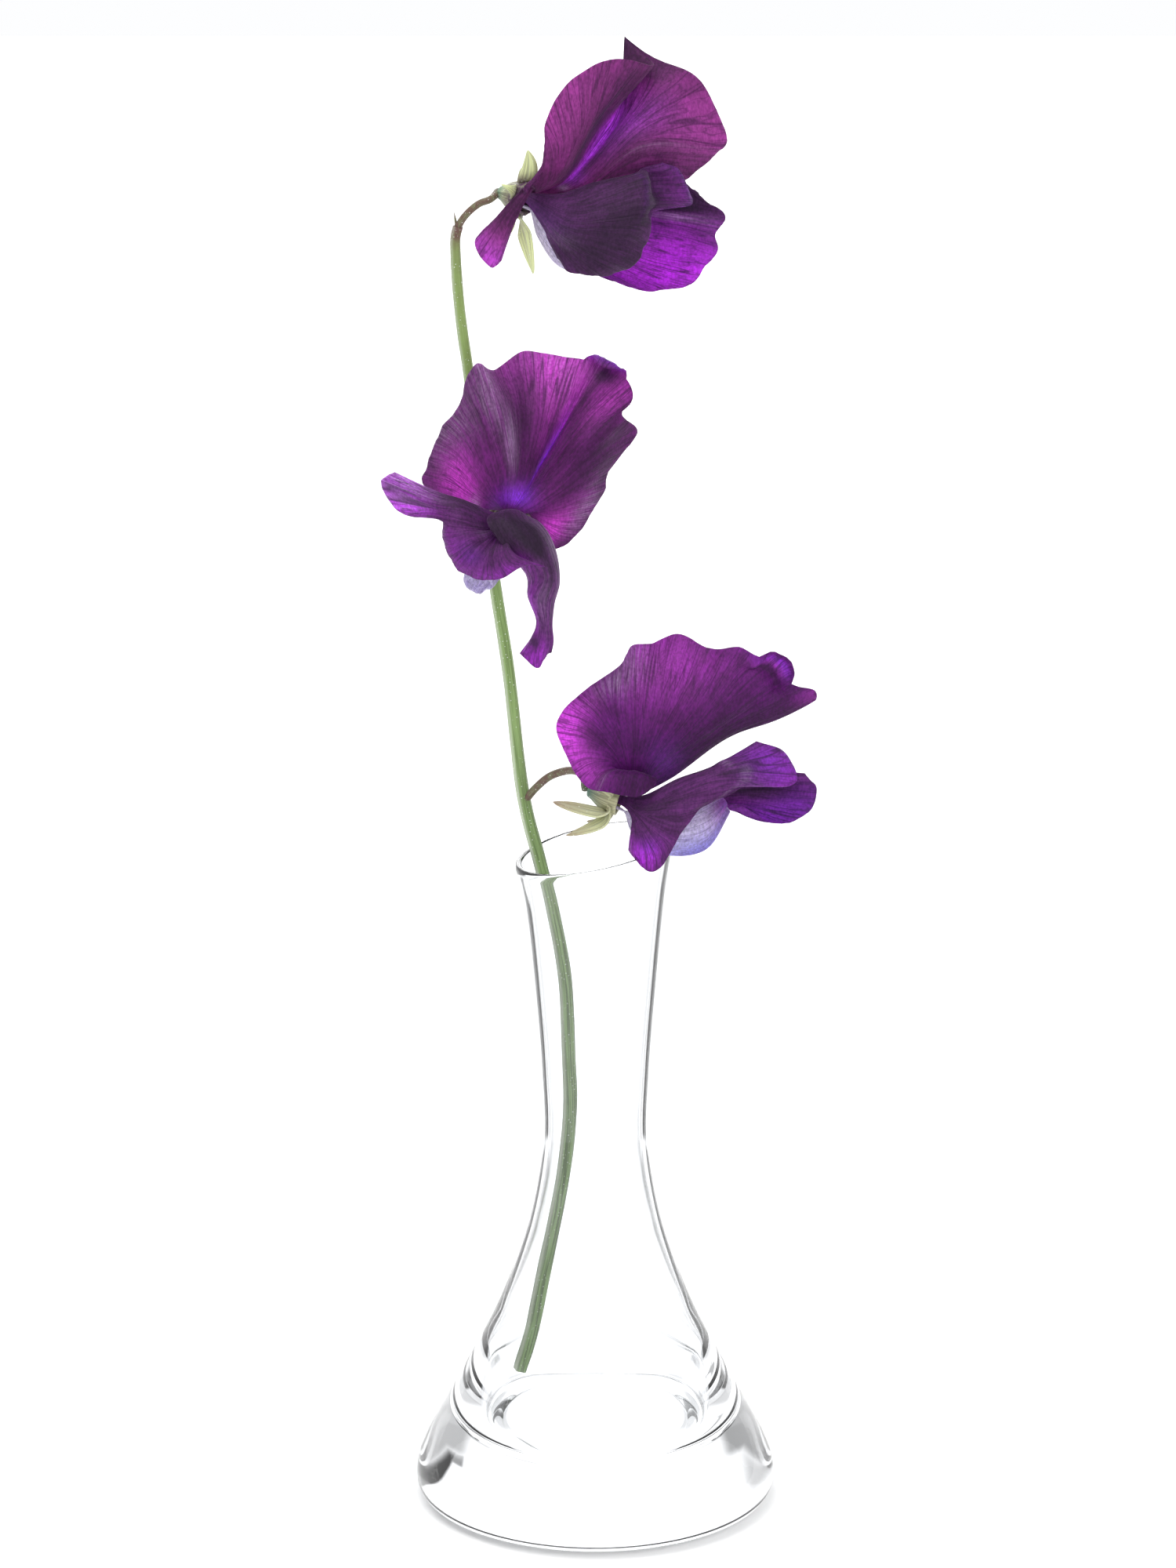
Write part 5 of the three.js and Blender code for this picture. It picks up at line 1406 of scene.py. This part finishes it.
class SWEETPEA_OT_stage(bpy.types.Operator):
    """Adds the paper floor, the soft lights and the camera"""
    bl_idname = "sweetpea.stage"
    bl_label = "Stage"

    def softbox(self, name, place, target, size, power):
        """A rectangle of light at a place, turned to its target and hidden from the camera and the glass."""
        lamp = bpy.data.lights.new(name, "AREA")
        lamp.shape = "RECTANGLE"
        lamp.size, lamp.size_y = size
        lamp.energy = power
        box = bpy.data.objects.new(name, lamp)
        box.location = place
        way = Vector(target) - Vector(place)
        box.rotation_euler = way.to_track_quat("-Z", "Y").to_euler()
        box.visible_camera = False
        box.visible_transmission = False
        bpy.context.scene.collection.objects.link(box)

    def cards(self, s, azimuth, height):
        """Narrow dark cards all round below the horizon, which draw the edges of the glass.

        They are where the cosine of eight times the azimuth is low. Two more stand beyond the vase, on either
        side of straight away.
        """
        cards = s.spread(s.math("COSINE", s.times(azimuth, 8.0)), -0.6, 0.1, 1.0, 0.0)
        cards = s.times(cards, s.spread(height, -0.12, -0.05, 1.0, 0.0))
        cards = s.times(cards, s.spread(height, -0.62, -0.55))
        level = s.size(s.plus(height, 0.36))
        cards = s.times(cards, s.spread(level, 0.05, 0.07, 0.25, 1.0))
        cards = s.times(cards, s.spread(height, -0.44, -0.4, 0.4, 1.0))
        pair = s.spread(s.size(s.less(s.size(azimuth), 0.58)), 0.15, 0.2, 1.0, 0.0)
        return s.most(cards, s.times(pair, s.spread(level, 0.035, 0.065, 1.0, 0.0)))

    def shades(self, s, azimuth, height):
        """Shades above the horizon, each one a smooth step over the height plus a share of the azimuth.

        A grey shade high up on either side slopes down as it goes round. Under it are a black card on the
        right and a haze on the left. On the viewer's side there are none.
        """
        turned = s.size(azimuth)
        side = s.spread(azimuth, -0.1, 0.1)
        slope = s.plus(height, s.times(turned, 0.43))
        high = s.most(s.spread(height, 0.385, 0.42), s.spread(slope, 0.74, 0.82))
        high = s.times(high, s.spread(turned, 0.6, 0.75))
        grey = s.times(high, s.less(0.72, s.times(side, 0.12)))
        steep = s.plus(height, s.times(turned, 0.831))
        stroke = s.spread(s.size(s.less(height, 0.39)), 0.01, 0.02, 1.0, 0.0)
        stroke = s.times(stroke, s.spread(turned, 0.66, 0.7, 0.0, 0.8))
        black = s.most(stroke, s.spread(steep, 1.01, 1.05))
        black = s.times(s.times(black, side), s.spread(height, 0.0, 0.12))
        haze = s.times(s.spread(turned, 0.75, 0.95, 0.0, 0.42), s.spread(height, 0.1, 0.25))
        haze = s.times(haze, s.less(1.0, side))
        low = s.times(s.most(black, haze), s.less(1.0, high))
        shades = s.times(s.most(grey, low), s.spread(turned, 1.7, 2.2, 1.0, 0.0))
        return s.times(shades, s.spread(height, 0.0, 0.08))

    def room(self, brightness):
        """A white room that lights the pieces evenly. Its strength follows from the way that a ray goes.

        Seen through glass it has dark cards and shades, and one small grey spot low down beyond the vase.
        Seen by the camera it is plain white.
        """
        world = bpy.data.worlds.new("studio")
        world.use_nodes = True
        s = Finish(world.node_tree)
        way = s.node("ShaderNodeTexCoord").outputs["Generated"]
        way = s.node("ShaderNodeSeparateXYZ", {0: way}).outputs
        azimuth, height = s.math("ARCTAN2", way[0], way[1]), way[2]
        spot = s.spread(s.size(s.plus(azimuth, 0.37)), 0.06, 0.1, 0.6, 0.0)
        spot = s.times(spot, s.spread(s.size(s.plus(height, 0.71)), 0.04, 0.07, 1.0, 0.0))
        dark = s.most(self.cards(s, azimuth, height), self.shades(s, azimuth, height))
        dark = s.most(dark, spot)
        through = s.times(s.less(1.0, s.times(dark, 0.985)), 1.35)
        path = s.node("ShaderNodeLightPath").outputs
        felt = s.most(s.times(0.6, brightness), path["Is Singular Ray"])
        strength = s.plus(s.times(path["Is Transmission Ray"], s.less(through, felt)), felt)
        strength = s.most(strength, path["Is Camera Ray"])
        light = s.node("ShaderNodeBackground", {"Color": ROOM_WHITE, "Strength": strength}).outputs[0]
        s.done(light, "ShaderNodeOutputWorld")
        return world

    def camera(self):
        """The camera at the photo's angle."""
        lens = bpy.data.cameras.new("photo_camera")
        lens.lens = CAMERA_LENS
        lens.sensor_width = CAMERA_SENSOR
        lens.clip_end = CAMERA_REACH
        camera = bpy.data.objects.new("photo_camera", lens)
        camera.location = CAMERA_PLACE
        camera.rotation_euler = (np.radians(CAMERA_TILT), 0, 0)
        bpy.context.scene.collection.objects.link(camera)
        return camera

    def execute(self, context):
        look = context.scene.sweetpea_stage
        half = look.floor_width / 2 / MM
        square = ((-1, -1), (1, -1), (1, 1), (-1, 1))
        corners = np.array([[x * half, y * half, FLOOR_HEIGHT] for x, y in square])
        floor = add_piece("paper_floor", corners, [[0, 1, 2, 3]], floor_finish(look.paper))
        floor.visible_transmission = False
        for *box, power in SOFTBOXES:
            self.softbox(*box, power * look.brightness)
        context.scene.world = self.room(look.brightness)
        context.scene.camera = self.camera()
        context.scene.view_settings.view_transform = "Standard"
        return {"FINISHED"}


OPERATORS = (
    SWEETPEA_OT_vase, SWEETPEA_OT_stem, SWEETPEA_OT_calyces, SWEETPEA_OT_standards,
    SWEETPEA_OT_wings, SWEETPEA_OT_keels, SWEETPEA_OT_stage,
)
SETTINGS = {
    "sweetpea_vase": VaseSettings, "sweetpea_stem": StemSettings,
    "sweetpea_petals": PetalSettings, "sweetpea_stage": StageSettings,
}


class SWEETPEA_PT_panel(bpy.types.Panel):
    """Lists the settings and the pieces of the sweet pea"""
    bl_idname = "SWEETPEA_PT_panel"
    bl_label = "Sweet pea"
    bl_space_type = "VIEW_3D"
    bl_region_type = "UI"
    bl_category = "Sweet pea"

    def draw(self, context):
        for name, settings in SETTINGS.items():
            box = self.layout.box()
            for key in settings.__annotations__:
                box.prop(getattr(context.scene, name), key)
        for operator in OPERATORS:
            self.layout.operator(operator.bl_idname)


def register():
    """Registers the settings, each one on the scene, then the operators and the panel."""
    for name, settings in SETTINGS.items():
        bpy.utils.register_class(settings)
        setattr(bpy.types.Scene, name, bpy.props.PointerProperty(type=settings))
    for kind in (*OPERATORS, SWEETPEA_PT_panel):
        bpy.utils.register_class(kind)


def unregister():
    """Takes away what register adds, in the other order."""
    for kind in (SWEETPEA_PT_panel, *reversed(OPERATORS)):
        bpy.utils.unregister_class(kind)
    for name, settings in SETTINGS.items():
        delattr(bpy.types.Scene, name)
        bpy.utils.unregister_class(settings)


def main():
    """Adds every piece."""
    register()
    bpy.ops.sweetpea.vase()
    bpy.ops.sweetpea.stem()
    bpy.ops.sweetpea.calyces()
    bpy.ops.sweetpea.standards()
    bpy.ops.sweetpea.wings()
    bpy.ops.sweetpea.keels()
    bpy.ops.sweetpea.stage()
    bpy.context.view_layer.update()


if __name__ == "__main__":
    main()
